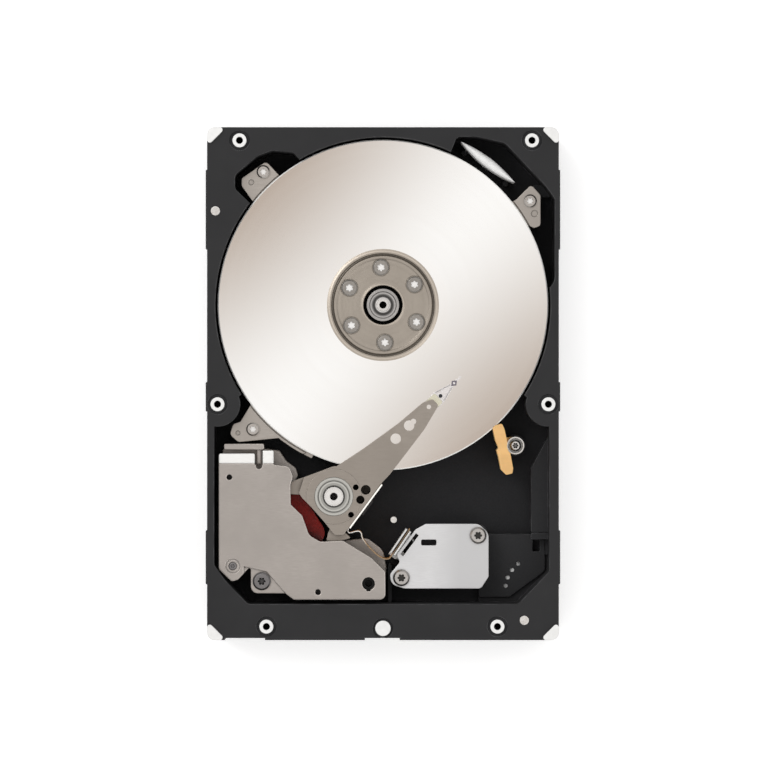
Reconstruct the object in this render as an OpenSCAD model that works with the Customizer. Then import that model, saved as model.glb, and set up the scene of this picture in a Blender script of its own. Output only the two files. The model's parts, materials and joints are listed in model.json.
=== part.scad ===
// Hard disk drive, 3.5 inch, with its top cover off: the base casting with its disk stack,
// actuator, voice coil motor, flex bracket and circuit board, each piece a solid of its own.
// +Y points to the disk end, -Y to the connector end, and the drive rests on z = 0.

/* [Form factor] */
// Width across the side mounting pads
drive_w = 101.6; // [101.4:0.1:101.8]
// Length from the connector end to the disk end
drive_l = 147; // [146.8:0.1:147.2]
// Height of the open base over its corner pads
drive_h = 25; // [24.8:0.1:25.2]
// Height of the casting's rim
rim_top = 24.2; // [24:0.1:24.3]
// Radius of the drill that the 6-32 mounting threads are cut in
mount_hole_r = 1.4; // [1.35:0.05:1.5]

/* [Disk stack] */
// Radius of a platter
platter_r = 47.5; // [47.3:0.1:47.6]
// Thickness of a platter
platter_t = 1.27; // [1.2:0.01:1.3]
// Distance from one platter to the next
platter_pitch = 3.3; // [3.28:0.01:3.32]
// Height of the lowest platter's underside
stack_z = 9; // [8.98:0.01:9.02]
// Radius of the hub where it carries the platters
hub_r = 12.45; // [12.4:0.01:12.46]
// Outer radius of the disk clamp
clamp_r = 16.1; // [16:0.1:16.3]

/* [Actuator] */
// Distance from the pivot to the heads
head_reach = 47.5; // [47.4:0.1:47.6]
// Direction of the arms at rest, counted from +X
arm_angle = 43.3; // [43:0.1:43.6]
// Thickness of an arm
arm_t = 1; // [0.95:0.01:1]
// Thickness of the voice coil
coil_t = 3.8; // [3.6:0.1:4]

/* [Circuit board] */
// Thickness of the board
board_t = 1; // [0.9:0.1:1.1]
// Height of the board's outer face
board_z = 1.4; // [1.3:0.1:1.5]

/* [Hidden] */
$fn = 96;
PLATTERS = 4;

half_w = drive_w / 2;
half_l = drive_l / 2;
side_relief = 0.4;
body_half_w = half_w - side_relief;
corner_r = 3.2;
boss_top = rim_top + 0.4;
boss_r = 2;
moat_r = 2.9;
floor_top = 6.3;
floor_under = 4.6;
eps = 0.01;

spindle = [0, 22.6];
pivot = [-14.1, -32.4];
well_r = 48.15;
platter_bore_r = 12.5;
edge_cut = 0.3;
breather_top = 8.95;
stack_top = stack_z + (PLATTERS - 1) * platter_pitch + platter_t;
gap_t = platter_pitch - platter_t;
hub_flange_r = 16;
clamp_screw_circle = 10.8;
shaft_r = 1.75;
sleeve_r = 3.9;
hub_nose_r = 4.65;
rotor_r = 11.2;

coil_mid_z = 14.5;
coil_turn = -11;
coil_wall = 4.3;
magnet_gap = coil_t / 2 + 0.6;
magnet_t = 2.3;
plate_t = 3;
ground_depth = 0.35;
top_magnet_under = coil_mid_z + magnet_gap;
vcm_top_under = top_magnet_under + magnet_t;
vcm_top = vcm_top_under + plate_t;
inner_stop = polar(27.8, 260.6);
outer_stop = polar(30.5, 169.5);
horseshoe_pin = [-4.15, -57.4];
tab_screw = [-34.8, -56.7];
flange_screw = [-43.1, -52.35];

side_holes_y = [for (from_end = [28.5, 70.11, 130.1]) from_end - half_l];
side_hole_z = 6.35;
side_hole_depth = 4.2;
bottom_hole_x = 47.625;
bottom_holes_y = [for (from_end = [41.28, 85.73]) from_end - half_l];
side_pads_y = [[-57.5, -42], [-8, 0.5], [38.4, 61.3]];
dowel_pins_at = [[-48, 49.5], [40.5, -67.8]];
plug_boss = [0, -70.1];
plug_boss_r = 2.2;
cover_bosses = [[-41.1, 69.7], [42.7, 69.7], [-47.4, -5.9], [47.4, -5.9], [-33.4, -69.6], [32.8, -69.6]];
damper_screws_at = [[-34.4, 60.9], [42.3, 52.5], [-37.4, -13.1]];
ramp_screw_at = [38.3, -17.9];
bracket_screws_at = [[27.4, -43.7], [5.3, -55.9]];
bracket_z = 16;
bracket_t = 1.2;
locating_pin_at = [3.1, -39.2];
vent_holes = [for (a = [0 : 3]) [45.05, -59.7] + 9.6 * [cos(128 + a * 15), sin(128 + a * 15)]];

board_half_w = 43.5;
board_right_low = 29.5;
board_step_y = -48;
board_end_y = 2;
board_screws_at = [[-38, -4], [0, -8], [38, -4], [-39.5, -44], [39.5, -44], [25, -69.5]];
sata_x = -20.68;
sata_z = 3.5;
jumpers_x = 7.5;

casting_black = [0.19, 0.19, 0.2];
machined = [0.86, 0.86, 0.85];
steel = [0.68, 0.66, 0.63];
plated = [0.7, 0.67, 0.64];
copper = [0.45, 0.1, 0.08];
dark_plastic = [0.1, 0.1, 0.11];

// ---- Helpers ----

function unit(v) = v / norm(v);
// A place at radius r and angle a round the pivot
function polar(r, a) = pivot + r * [cos(a), sin(a)];
// The points that round the corner b = [x, y, radius] between its neighbours a and c
function corner_points(a, b, c, steps = 6) =
    let (p = [b[0], b[1]],
         u = unit([a[0], a[1]] - p),
         v = unit([c[0], c[1]] - p),
         half = acos(u * v) / 2)
    b[2] <= 0 ? [p] :
    let (centre = p + unit(u + v) * b[2] / sin(half),
         from = p + u * b[2] / tan(half) - centre,
         to = p + v * b[2] / tan(half) - centre,
         start = atan2(from[1], from[0]),
         turn = (atan2(to[1], to[0]) - start + 540) % 360 - 180)
    [for (i = [0 : steps]) centre + b[2] * [cos(start + turn * i / steps), sin(start + turn * i / steps)]];
// An outline whose corners [x, y, radius] are rounded
function rounded(c) =
    let (n = len(c))
    [for (i = [0 : n - 1]) each corner_points(c[(i + n - 1) % n], c[i], c[(i + 1) % n])];
// The four corners of a rounded rectangle from [x0, y0] to [x1, y1]
function box_corners(x0, y0, x1, y1, r) = [[x0, y0, r], [x1, y0, r], [x1, y1, r], [x0, y1, r]];
// The strip of thickness t that follows a list of points
function strip(route, t) =
    let (n = len(route),
         along = [for (i = [0 : n - 1]) unit(route[min(i + 1, n - 1)] - route[max(i - 1, 0)])],
         side = [for (d = along) [-d[1], d[0]] * t / 2])
    concat([for (i = [0 : n - 1]) route[i] + side[i]], [for (i = [n - 1 : -1 : 0]) route[i] - side[i]]);

module plate(corners, z0, z1) {
    translate([0, 0, z0]) linear_extrude(z1 - z0) polygon(rounded(corners));
}
module post(at, r, z0, z1) {
    translate([at[0], at[1], z0]) cylinder(r = r, h = z1 - z0);
}
module tube(outer, inner, z0, z1) {
    translate([0, 0, z0]) difference() {
        cylinder(r = outer, h = z1 - z0);
        translate([0, 0, -1]) cylinder(r = inner, h = z1 - z0 + 2);
    }
}
module at_spindle() {
    translate([spindle[0], spindle[1], 0]) children();
}
module at_pivot() {
    translate([pivot[0], pivot[1], 0]) children();
}
// The arm's own frame: the pivot is its origin and the arms point along +X
module in_arm_frame() {
    at_pivot() rotate([0, 0, arm_angle]) children();
}
// A screw with a round head and a six-lobed socket, whose head rests on z
module torx_screw(at, z, head_r, head_t, thread_r, thread_l, socket_r) {
    translate([at[0], at[1], z]) difference() {
        union() {
            cylinder(r = head_r, h = head_t * 0.6);
            translate([0, 0, head_t * 0.6])
                cylinder(r1 = head_r, r2 = head_r - head_t * 0.4, h = head_t * 0.4);
            translate([0, 0, -thread_l]) cylinder(r = thread_r, h = thread_l + eps);
        }
        translate([0, 0, head_t * 0.35]) linear_extrude(head_t) torx_socket(socket_r);
    }
}
module torx_socket(r) {
    circle(r = r * 0.72);
    for (a = [0 : 60 : 300]) rotate(a) translate([r * 0.7, 0]) circle(r = r * 0.3, $fn = 24);
}
module annular_sector(r0, r1, a0, a1, steps = 24) {
    arc = [for (i = [0 : steps]) a0 + (a1 - a0) * i / steps];
    polygon(concat([for (a = arc) r1 * [cos(a), sin(a)]],
                   [for (i = [steps : -1 : 0]) r0 * [cos(arc[i]), sin(arc[i])]]));
}

// ---- Base casting ----

module casting_outline() {
    polygon(rounded(box_corners(-body_half_w, -half_l, body_half_w, half_l, corner_r)));
}
module cavity_outline() {
    bay = [[-34, 2, 0], [-48.4, -9, 0], [-48.4, -52, 2], [-45.3, -56.3, 2], [-38.7, -63.2, 2],
           [38.7, -63.2, 2], [47.7, -53.8, 2], [47.7, -9, 0], [34, 2, 0]];
    corner_pocket = [[-30, 44, 0], [-42.5, 55.9, 2.5], [-42.5, 59.8, 2.5], [-35.9, 65.3, 2.5],
                     [-31.9, 66.8, 2], [-25.8, 66.3, 1], [-18, 58, 0]];
    filter_pocket = [[16, 58, 0], [21.2, 70.8, 1.5], [27, 70.8, 4], [35, 69, 3], [46.7, 56.6, 3],
                     [49.3, 53, 2], [49.3, 29, 4], [40, 20, 0]];
    difference() {
        union() {
            translate(spindle) circle(r = well_r, $fn = 180);
            polygon(rounded(bay));
            polygon(rounded(corner_pocket));
            polygon(rounded(filter_pocket));
        }
        for (side = [-1, 1]) translate([side * 47.4, -5.9]) circle(r = 6.4);
    }
}
// Outline of the circuit board, grown by a margin; its far edge curves round the motor
module board_outline(margin) {
    low = -half_l + 0.6 - margin;
    wide = board_half_w + margin;
    difference() {
        polygon(rounded([[-wide, low, 1], [board_right_low + margin, low, 1],
                         [board_right_low + margin, board_step_y - margin, 1],
                         [wide, board_step_y - margin, 2], [wide, board_end_y + margin, 3],
                         [-wide, board_end_y + margin, 3]]));
        translate(spindle) circle(r = 24 - margin);
        translate([sata_x - 21.6, -half_l - 1]) square([43.2, 3.6]);
    }
}
module casting_shell() {
    linear_extrude(rim_top) casting_outline();
    for (side = [-1, 1], pad = side_pads_y)
        plate(box_corners(side > 0 ? 40 : -half_w, pad[0], side > 0 ? half_w : -40, pad[1], 0.35),
              0, rim_top - eps);
    for (boss = cover_bosses) post(boss, boss_r, rim_top - 2, boss_top);
    post(plug_boss, plug_boss_r, rim_top - 2, boss_top);
    for (mx = [0, 1], my = [0, 1]) mirror([mx, 0, 0]) mirror([0, my, 0])
        translate([0, 0, rim_top - 1]) linear_extrude(drive_h - rim_top + 1)
            polygon(rounded([[body_half_w, half_l, 2.2], [body_half_w - 5.6, half_l, 0.8],
                             [body_half_w, half_l - 5.6, 0.8]]));
}
module underside_recesses() {
    // Pocket that takes the circuit board, and the deeper one over its connector
    translate([0, 0, -1]) linear_extrude(floor_under + 1) board_outline(0.5);
    plate(box_corners(-42.9, -half_l - 1, 13, -63.6, 0.8), -1, 6.3);
    // Shallow recess round the motor, then deeper pockets between six ribs
    plate(box_corners(-44, 5.5, 44, 69.5, 4), -1, 1.5);
    at_spindle() translate([0, 0, 1.4]) linear_extrude(2.8) difference() {
        annular_sector(22, 41, 0, 360, 72);
        for (a = [15 : 60 : 345]) rotate(a) translate([0, -1]) square([50, 2]);
        translate([-50, -100]) square([100, 85]);
    }
}
module casting_moats() {
    for (boss = cover_bosses) translate([boss[0], boss[1], 0])
        tube(moat_r, boss_r, rim_top - 0.5, rim_top + 1);
    translate([plug_boss[0], plug_boss[1], 0]) tube(moat_r, plug_boss_r, rim_top - 0.5, rim_top + 1);
    // Steps in the outer edge beside the connector and beside the top corners
    for (x = [[-45.3, -33.8], [-5.2, 4.8]])
        plate(box_corners(x[0], -half_l - 1, x[1], -half_l + 0.6, 0), 8, rim_top + 2);
}
// Outline of the breather filter's pocket, drawn in by a margin, between two heights
module breather_plate(margin, z0, z1) {
    plate([[34.4 + margin, -59.6 + margin, 0.8], [39.9 - margin, -59.6 + margin, 2.8 - margin],
           [39.9 - margin, -51.2 - margin, 1], [34.4 + margin, -51.2 - margin, 1]], z0, z1);
}
module casting_posts() {
    for (at = damper_screws_at) post(at, 2.9, floor_top - 0.5, damper_tab_z(0));
    for (at = bracket_screws_at) post(at, 2.9, floor_top - 0.5, bracket_z);
    post(ramp_screw_at, 3, floor_top - 0.5, stack_z);
    // Boss that carries the stator round the shaft
    at_spindle() tube(5.3, 4.3, floor_top - 0.5, 10.4);
    // Raised floor round the side mounting holes
    plate(box_corners(-49, -49.5, -44.2, -40.5, 0.5), floor_top - 0.5, 9.3);
    plate(box_corners(44.2, -49.5, 49, -40.5, 0.5), floor_top - 0.5, 9.3);
    plate(box_corners(43.6, 54, 48.4, 57.5, 0.3), floor_top - 0.5, 9.2);
    // Ledge along the right wall with its cross wall, the stepped ledge round the vents, and the low wall
    // between the coil bay and the bracket bay
    plate([[42.8, -43, 0.5], [48.4, -43, 0], [48.4, -14, 0], [42.8, -24.4, 0.5]], floor_top - 0.5, 12.5);
    plate(box_corners(42.8, -44.9, 48.4, -43.1, 0.3), floor_top - 0.5, 13.2);
    plate([[27.8, -63.6, 0], [38.5, -63.6, 0], [48.4, -54, 0], [48.4, -43.6, 0], [27.8, -43.6, 0]],
          floor_top - 0.5, 8.5);
    plate([[27.8, -61.7, 0.5], [36.6, -61.7, 1], [46.8, -54.2, 1.5], [46.8, -43.6, 0.3], [27.8, -43.6, 0.3]],
          floor_top - 0.5, 9.5);
    plate(box_corners(1.5, -63.6, 2.5, -52, 0.3), floor_top - 0.5, 13);
    // Socket posts of the filter
    for (at = [[23.6, 66.7], [35.4, 57.85]]) post(at, 0.8, floor_top - 0.5, 9.5);
}
module casting_holes() {
    for (boss = cover_bosses) post(boss, 1, 15, boss_top + 1);
    for (side = [-1, 1], y = side_holes_y)
        translate([side * (half_w - side_hole_depth), y, side_hole_z]) rotate([0, side * 90, 0])
            cylinder(r = mount_hole_r, h = side_hole_depth + 1);
    for (side = [-1, 1], y = bottom_holes_y) post([side * bottom_hole_x, y], mount_hole_r, -1, 4.8);
    for (at = damper_screws_at) post(at, 1.02, 6, damper_tab_z(0) + 1);
    for (at = bracket_screws_at) post(at, 1.02, 6, bracket_z + 1);
    post(ramp_screw_at, 1.02, 6, stack_z + 1);
    // Vents, and the pocket of the breather filter under them; slot in the ledge beside its wall
    for (at = vent_holes) post(at, 0.6, 0, 12);
    breather_plate(0, -1, breather_top + 0.05);
    plate(box_corners(43.3, -48.6, 45.4, -45.2, 0.3), floor_top, 10);
    for (at = dowel_pins_at) post(at, 1.02, 16, rim_top + 1);
    // Shaft seat, clearance for the turning sleeve, and the ways for the motor's and heads' wires
    at_spindle() {
        post([0, 0], shaft_r + eps, -1, 7);
        post([0, 0], 4.3, 5.2, 12);
        plate(box_corners(-2, -13.5, 2, -11, 0.5), 0, 8);
        plate(box_corners(-5, -24, 5, -10.6, 0.5), -1, 1.45);
    }
    plate(box_corners(9.5, -52.5, 23.5, -46.5, 1), 0, 8);
    // Pivot and board screws
    post(pivot, 1.52, 5.4, 8);
    for (at = board_screws_at) post(at, 1.02, 1, 6);
}
module base_casting() {
    color(casting_black) difference() {
        union() {
            difference() {
                casting_shell();
                translate([0, 0, floor_top]) linear_extrude(drive_h) cavity_outline();
                underside_recesses();
                casting_moats();
            }
            casting_posts();
            // Lands that the board is screwed to
            for (at = board_screws_at) post(at, 2.6, board_z + board_t, floor_under + 0.5);
            at_spindle() tube(21.5, 16, 1, 4);
        }
        casting_holes();
    }
}
module cover_dowel_pins() {
    color(machined) for (at = dowel_pins_at) {
        post(at, 1, 18, rim_top + 0.2);
        post(at, 1.3, rim_top + 0.1, boss_top);
    }
}
module locating_pin() {
    color(machined) post(locating_pin_at, 0.9, floor_top, bracket_z + 1.5);
}

// ---- Spindle motor ----

module motor_shaft() {
    color(machined) at_spindle() difference() {
        post([0, 0], shaft_r, 1.6, 21.6);
        post([0, 0], 1.05, 10, 22);
    }
}
module stator_core() {
    color(steel) at_spindle() translate([0, 0, 8]) difference() {
        linear_extrude(2.4) {
            difference() {
                circle(r = 7);
                circle(r = 5.32);
            }
            for (a = [0 : 40 : 320]) rotate(a) {
                translate([6.8, -0.8]) square([2.4, 1.6]);
                annular_sector(8.9, 9.8, -15, 15, 6);
            }
        }
    }
}
module stator_coils() {
    color(copper) at_spindle() for (a = [0 : 40 : 320]) rotate([0, 0, a]) difference() {
        translate([7.15, -1.55, 7.55]) cube([1.6, 3.1, 3.3]);
        translate([7, -0.82, 7.98]) cube([2, 1.64, 2.44]);
    }
}
module motor_contacts() {
    color([0.85, 0.6, 0.25]) at_spindle() {
        translate([-1.7, -13.2, 1.36]) cube([3.4, 1.9, 5.6]);
        translate([-4.4, -26.2, 1.18]) cube([8.8, 15, 0.2]);
    }
}
module spindle_hub() {
    color(steel) at_spindle() difference() {
        union() {
            tube(hub_flange_r, 9.95, 7.5, stack_z);
            tube(hub_r, rotor_r, stack_z - 1.2, 14.6);
            tube(hub_r, sleeve_r + eps, 14.5, stack_top + 0.05);
            tube(hub_nose_r, sleeve_r + eps, stack_top, 21.2);
        }
        // Room for the magnet under the platters' seat
        translate([0, 0, 7]) cylinder(r = rotor_r, h = 6);
        // Deep groove round the hub's nose, inside the clamp's bore
        tube(5.55, hub_nose_r, 16.4, 24);
        for (a = [33 : 60 : 333]) rotate(a) post([clamp_screw_circle, 0], 1.02, 15.5, 22);
    }
}
module bearing_sleeve() {
    color(machined) at_spindle() {
        tube(sleeve_r, shaft_r + 0.03, 7.4, 20.2);
        tube(2.4, shaft_r + 0.03, 20.1, 20.9);
    }
}
module rotor_magnet() {
    color(dark_plastic) at_spindle() tube(rotor_r - eps, 10.1, 7.6, 12);
}

// ---- Disk stack ----

function platter_z(i) = stack_z + (i - 1) * platter_pitch;

module platter(i) {
    color([0.85, 0.83, 0.8]) at_spindle() translate([0, 0, platter_z(i)]) rotate_extrude($fn = 180)
        polygon([[platter_bore_r, 0], [platter_r - edge_cut, 0], [platter_r, edge_cut],
                 [platter_r, platter_t - edge_cut], [platter_r - edge_cut, platter_t],
                 [platter_bore_r, platter_t]]);
}
module platter_spacers() {
    color(machined) at_spindle() for (i = [1 : PLATTERS - 1])
        tube(15.8, platter_bore_r, platter_z(i) + platter_t, platter_z(i + 1));
}
module disk_clamp() {
    color(steel) at_spindle() difference() {
        translate([0, 0, stack_top]) rotate_extrude()
            polygon([[5.6, 0.35], [13.6, 0.35], [14.2, 0], [clamp_r, 0], [clamp_r, 0.35], [15.5, 0.6],
                     [14.9, 0.6], [14.6, 0.35], [14.3, 0.5], [14, 1.2], [13.4, 1.2], [13, 1], [6.4, 1],
                     [6, 1.2], [5.8, 1.2], [5.6, 1]]);
        for (a = [33 : 60 : 333]) rotate(a) {
            post([clamp_screw_circle, 0], 1.15, 15, 24);
            post([clamp_screw_circle, 0], 2.55, stack_top + 0.75, 24);
        }
    }
}
module clamp_screws() {
    color(machined) at_spindle() for (a = [33 : 60 : 333]) rotate([0, 0, a])
        torx_screw([clamp_screw_circle, 0], stack_top + 0.75, 2.35, 1, 1, 4.5, 1.1);
}

// ---- Disk dampers ----

// Underside of the tabs of damper plate i, counted from 0
function damper_tab_z(i) = stack_z + platter_t + gap_t / 2 - platter_pitch / 2 + i * platter_pitch;

module damper_outline() {
    difference() {
        union() {
            translate(spindle) annular_sector(36, platter_r - 0.1, 38, 243, 60);
            // The lower end is wider and shows beside the platters
            translate(spindle) annular_sector(44, 48.6, 228, 245, 16);
            // Upper left, upper right and lower left tabs
            polygon(rounded([[-33.6, 63.9, 1.2], [-29.5, 59.5, 0], [-31, 52, 0], [-37.5, 52.5, 0],
                             [-40.6, 56.8, 1.5], [-40.6, 59, 1]]));
            polygon(rounded([[42.6, 57.2, 0.9], [45.3, 54.2, 1.2], [45.3, 45.4, 1], [43.5, 44.8, 0],
                             [36, 48, 0], [36.5, 52, 0], [38.2, 52.8, 0]]));
            polygon(rounded([[-37.6, -5.4, 0], [-41, -11, 0.8], [-43, -11.6, 1], [-44, -14.6, 1.4],
                             [-41.6, -16.8, 1.5], [-29.8, -15.6, 1], [-24, -13, 0]]));
        }
        for (at = damper_screws_at) translate(at) circle(r = 1.15);
    }
}
module damper_tab_clip() {
    // The tabs are thick, the ring between the platters is thin
    difference() {
        translate([-50, -20]) square([100, 90]);
        translate(spindle) circle(r = 48, $fn = 180);
    }
}
module damper_plates() {
    color(plated) for (i = [0 : PLATTERS - 2]) translate([0, 0, damper_tab_z(i)]) difference() {
        union() {
            translate([0, 0, (platter_pitch - 1) / 2]) linear_extrude(1) damper_outline();
            linear_extrude(platter_pitch - 0.02) intersection() {
                damper_outline();
                damper_tab_clip();
            }
        }
        translate([-37.9, 57.9, platter_pitch - 0.4]) cylinder(r = 0.8, h = 1);
        translate([43.6, 48.9, platter_pitch - 0.4]) cylinder(r = 1, h = 1);
        translate([-41.7, -14.2, platter_pitch - 0.4]) cylinder(r = 0.7, h = 1);
    }
}
module damper_screws() {
    color(machined) for (at = damper_screws_at)
        torx_screw(at, damper_tab_z(PLATTERS - 1), 1.9, 1, 1, 12, 0.95);
}

// ---- Filter and ramp ----

module recirculation_filter() {
    color("white") translate([30.1, 63.7, floor_top]) rotate([0, 0, -37.2]) linear_extrude(15.8)
        intersection() {
            translate([0, 33.8]) circle(r = 35.2, $fn = 180);
            translate([0, -33.8]) circle(r = 35.2, $fn = 180);
        }
}
// Outline of the ramp seen from above
module ramp_outline() {
    polygon(rounded([[31.5, -12.7, 0.4], [32.2, -12, 0.4], [34.2, -11.5, 0.5], [34.9, -13, 0.6],
                     [35.8, -17, 1], [36.7, -20.5, 1], [37.4, -24.3, 0.6], [37.2, -25.8, 0.5],
                     [35.4, -26.2, 0.6], [33.7, -24.5, 0.6], [33.2, -21, 0.8], [32.5, -19.3, 0.4],
                     [33.2, -18.5, 0.4], [32.4, -16.6, 0.8], [31.9, -14.6, 0.8]]));
}
module load_ramp() {
    color([0.94, 0.75, 0.47]) difference() {
        union() {
            // One tongue for each platter, which holds both of its heads' lift tabs apart
            for (i = [1 : PLATTERS]) translate([0, 0, platter_z(i) - 0.34])
                linear_extrude(platter_t + 0.68) ramp_outline();
            // Spine that joins the tongues outside the lift tabs' path
            translate([0, 0, floor_top]) linear_extrude(stack_top + 0.34 - floor_top) intersection() {
                ramp_outline();
                difference() {
                    square(100, center = true);
                    translate(pivot) circle(r = 50.6, $fn = 180);
                }
            }
            // Foot under the ramp's screw
            plate([[34.8, -15.6, 0.5], [38.3, -15.4, 2.2], [40.7, -17.9, 2.2], [38.3, -20.3, 2.2],
                   [35.6, -20.3, 0.5]], stack_z, stack_z + 2.6);
        }
        translate([pivot[0], pivot[1], 0]) cylinder(r = head_reach + 1.1, h = 40, $fn = 180);
        for (i = [1 : PLATTERS]) at_spindle() translate([0, 0, platter_z(i) - 0.14])
            cylinder(r = platter_r + 0.35, h = platter_t + 0.28, $fn = 180);
        post(ramp_screw_at, 1.15, 0, 40);
        // Room for the casting's post, and for the screw's washer
        post(ramp_screw_at, 3.05, 0, stack_z);
        post(ramp_screw_at, 2.65, stack_z + 2.6, 40);
    }
}
module ramp_screw() {
    color(machined) {
        torx_screw(ramp_screw_at, stack_z + 2.6, 1.6, 1.1, 1, 5, 0.85);
        // Washer flange with a raised rim
        translate([ramp_screw_at[0], ramp_screw_at[1], 0]) {
            tube(2.55, 1, stack_z + 2.6, stack_z + 2.9);
            tube(2.55, 2.15, stack_z + 2.8, stack_z + 3.3);
        }
    }
}

// ---- Voice coil motor ----

module vcm_top_outline() {
    difference() {
        polygon(rounded([[-47.1, -20.05, 0.6], [-36.8, -20.05, 0.4], [-36.8, -23.3, 0], [-34.5, -23.3, 0],
                         [-34.5, -19.2, 0.3], [-31.4, -19.2, 0.3], [-31.4, -23.3, 0.4], [-26.9, -23.8, 1.5],
                         [-25.9, -26.6, 1], [-26.6, -29.2, 0.8], [-26.5, -34.7, 0.5], [-23.2, -37.9, 2],
                         [-21.2, -43.6, 3], [-18, -45.4, 1.5], [-11.5, -45.1, 1], [-3.4, -50, 2],
                         [0.6, -54, 1], [0.7, -62, 1.6], [-25.5, -62, 0.8], [-28, -60.2, 0.6],
                         [-37.9, -60.2, 2], [-37.9, -53.2, 0.3], [-38.5, -52.9, 0.3], [-41.6, -56.2, 0.8],
                         [-43.4, -56.8, 1], [-47.1, -53.2, 1.6]]));
        translate([-35.6, -23.6]) circle(r = 0.9);
        for (at = [inner_stop, outer_stop]) translate(at) circle(r = 0.82);
        translate(horseshoe_pin) circle(r = 1.85);
        translate(horseshoe_pin + [0, -1.2]) square([1.2, 2], center = true);
        translate(tab_screw) circle(r = 1.15);
        translate(flange_screw) circle(r = 1.15);
    }
}
module vcm_top_plate() {
    color(plated) difference() {
        union() {
            translate([0, 0, vcm_top_under]) linear_extrude(plate_t) vcm_top_outline();
            // Bent flange that stands on the lower plate
            plate(box_corners(-46.3, -22.2, -37, -20.1, 0.3), bottom_plate_top(), vcm_top - ground_depth);
        }
        // The screw tab lies lower than the rest of the plate, and the end by the flange is ground down
        plate([[-40, -52.4, 0], [-33.4, -53.9, 0.6], [-26.3, -62, 0], [-26.3, -63, 0], [-40, -63, 0]],
              vcm_top - 0.9, vcm_top + 1);
        plate(box_corners(-48, -22.9, -25, -19, 0), vcm_top - ground_depth, vcm_top + 1);
        // Ring coined round the flange's rivet
        translate([flange_screw[0], flange_screw[1], 0]) tube(2.1, 1.8, vcm_top - 0.15, vcm_top + 1);
    }
}
function bottom_plate_top() = floor_top + plate_t;

module vcm_bottom_plate() {
    color([0.6, 0.57, 0.52]) difference() {
        union() {
            plate([[-46.4, -18.9, 0.5], [-33.5, -18.9, 1], [-30, -19.4, 1], [-28, -22.4, 1.5],
                   [-25.3, -24.4, 1.5], [-24.6, -26.6, 1], [-26, -29, 1], [-28, -34, 2], [-25, -42, 3],
                   [-16.5, -46, 2], [-4.6, -44.7, 3], [0, -48.2, 4], [1, -53, 2],
                   [0.6, -61.5, 1.5], [-26, -61.5, 1], [-29, -59.6, 0.5], [-37.4, -59.6, 1],
                   [-37.4, -52.6, 0.3], [-38.6, -52, 0.3], [-42.4, -55.4, 0.5], [-43.8, -54, 1],
                   [-43.8, -24, 0.5], [-46.4, -23.6, 0.5]], floor_top, bottom_plate_top());
            // Upright wall behind the top plate's flange, with the finger that locates the plate
            plate(box_corners(-45.6, -18.9, -34.2, -17.3, 0.4), floor_top, vcm_top - 1);
            plate(box_corners(-36.2, -23, -35.1, -18, 0.4), vcm_top_under - 2.2, vcm_top_under - 0.2);
        }
        post(tab_screw, 1.02, 0, 20);
        post(horseshoe_pin, 1.02, 0, 20);
        for (at = [inner_stop, outer_stop]) post(at, 0.82, 0, 20);
    }
}
// Magnet of the voice coil motor: an arched block that spans the coil's swing
module vcm_magnet(z) {
    at_pivot() translate([0, 0, z]) linear_extrude(magnet_t) annular_sector(13.4, 25.6, 168, 252);
}
module vcm_bottom_magnet() {
    color(machined) vcm_magnet(bottom_plate_top());
}
module vcm_top_magnet() {
    color(machined) vcm_magnet(top_magnet_under);
}
module vcm_standoffs() {
    color(steel) {
        translate([tab_screw[0], tab_screw[1], 0]) tube(2.4, 1.1, bottom_plate_top(), vcm_top_under);
        translate([horseshoe_pin[0], horseshoe_pin[1], 0]) tube(2.4, 1.02, bottom_plate_top(), vcm_top_under);
    }
}
module vcm_screws() {
    color([0.45, 0.44, 0.43]) torx_screw(tab_screw, vcm_top - 0.9, 2.6, 1.3, 1, 14.7, 1.15);
    color(steel) {
        torx_screw(flange_screw, vcm_top, 1.1, 0.3, 1.1, 2.8, 0.6);
        post(horseshoe_pin, 1, floor_top, 14.8);
    }
}
module crash_stop_pins() {
    color(steel) for (at = [inner_stop, outer_stop]) post(at, 0.8, floor_top + 0.1, vcm_top_under - 0.05);
}
module crash_stop_sleeves() {
    color(dark_plastic) for (at = [inner_stop, outer_stop]) translate([at[0], at[1], 0])
        tube(1.2, 0.81, coil_mid_z - 2.4, coil_mid_z + 2.4);
}

// ---- Actuator ----

// Middle height of arm i, counted from 0
function arm_z(i) = stack_z - gap_t / 2 + i * platter_pitch;
block_top = arm_z(PLATTERS) + arm_t / 2;
block_under = arm_z(0) - arm_t / 2;

module arm_outline() {
    difference() {
        polygon(rounded([[2, 7.6, 0], [6.4, 5.8, 1], [15.5, 4.2, 12], [27.8, 2.6, 8], [37.2, 2.1, 1.5],
                         [39.8, 0.9, 0.8], [39.8, -1.6, 0.8], [32.2, -3.8, 8], [20.1, -5.8, 3],
                         [16, -6.4, 0.8], [12.6, -6.6, 0], [4, -7.6, 0]]));
        translate([24.3, -0.1]) circle(r = 1.5);
        translate([29.7, 0]) circle(r = 1.5);
        translate([31.4, 0]) circle(r = 0.8);
        translate([37.5, 0]) circle(r = 0.65);
    }
}
module block_outline() {
    // Its far side stays inside the circle that clears the platters' rims over the whole swing
    polygon(rounded([[9.3, 0, 2], [8.6, 2.6, 3], [7.1, 5.3, 1.5], [5.6, 6.5, 1], [-2.4, 9.85, 0.3],
                     [-6.6, 7.6, 0.4], [-6.9, 6, 0.6], [-6.8, 2, 3], [-7, -3.4, 3], [-7.4, -8.2, 1],
                     [-5.6, -9.9, 0.8], [-2.6, -9.4, 0.8], [12.6, -6.6, 1], [10.6, -3, 1]]));
}
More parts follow.
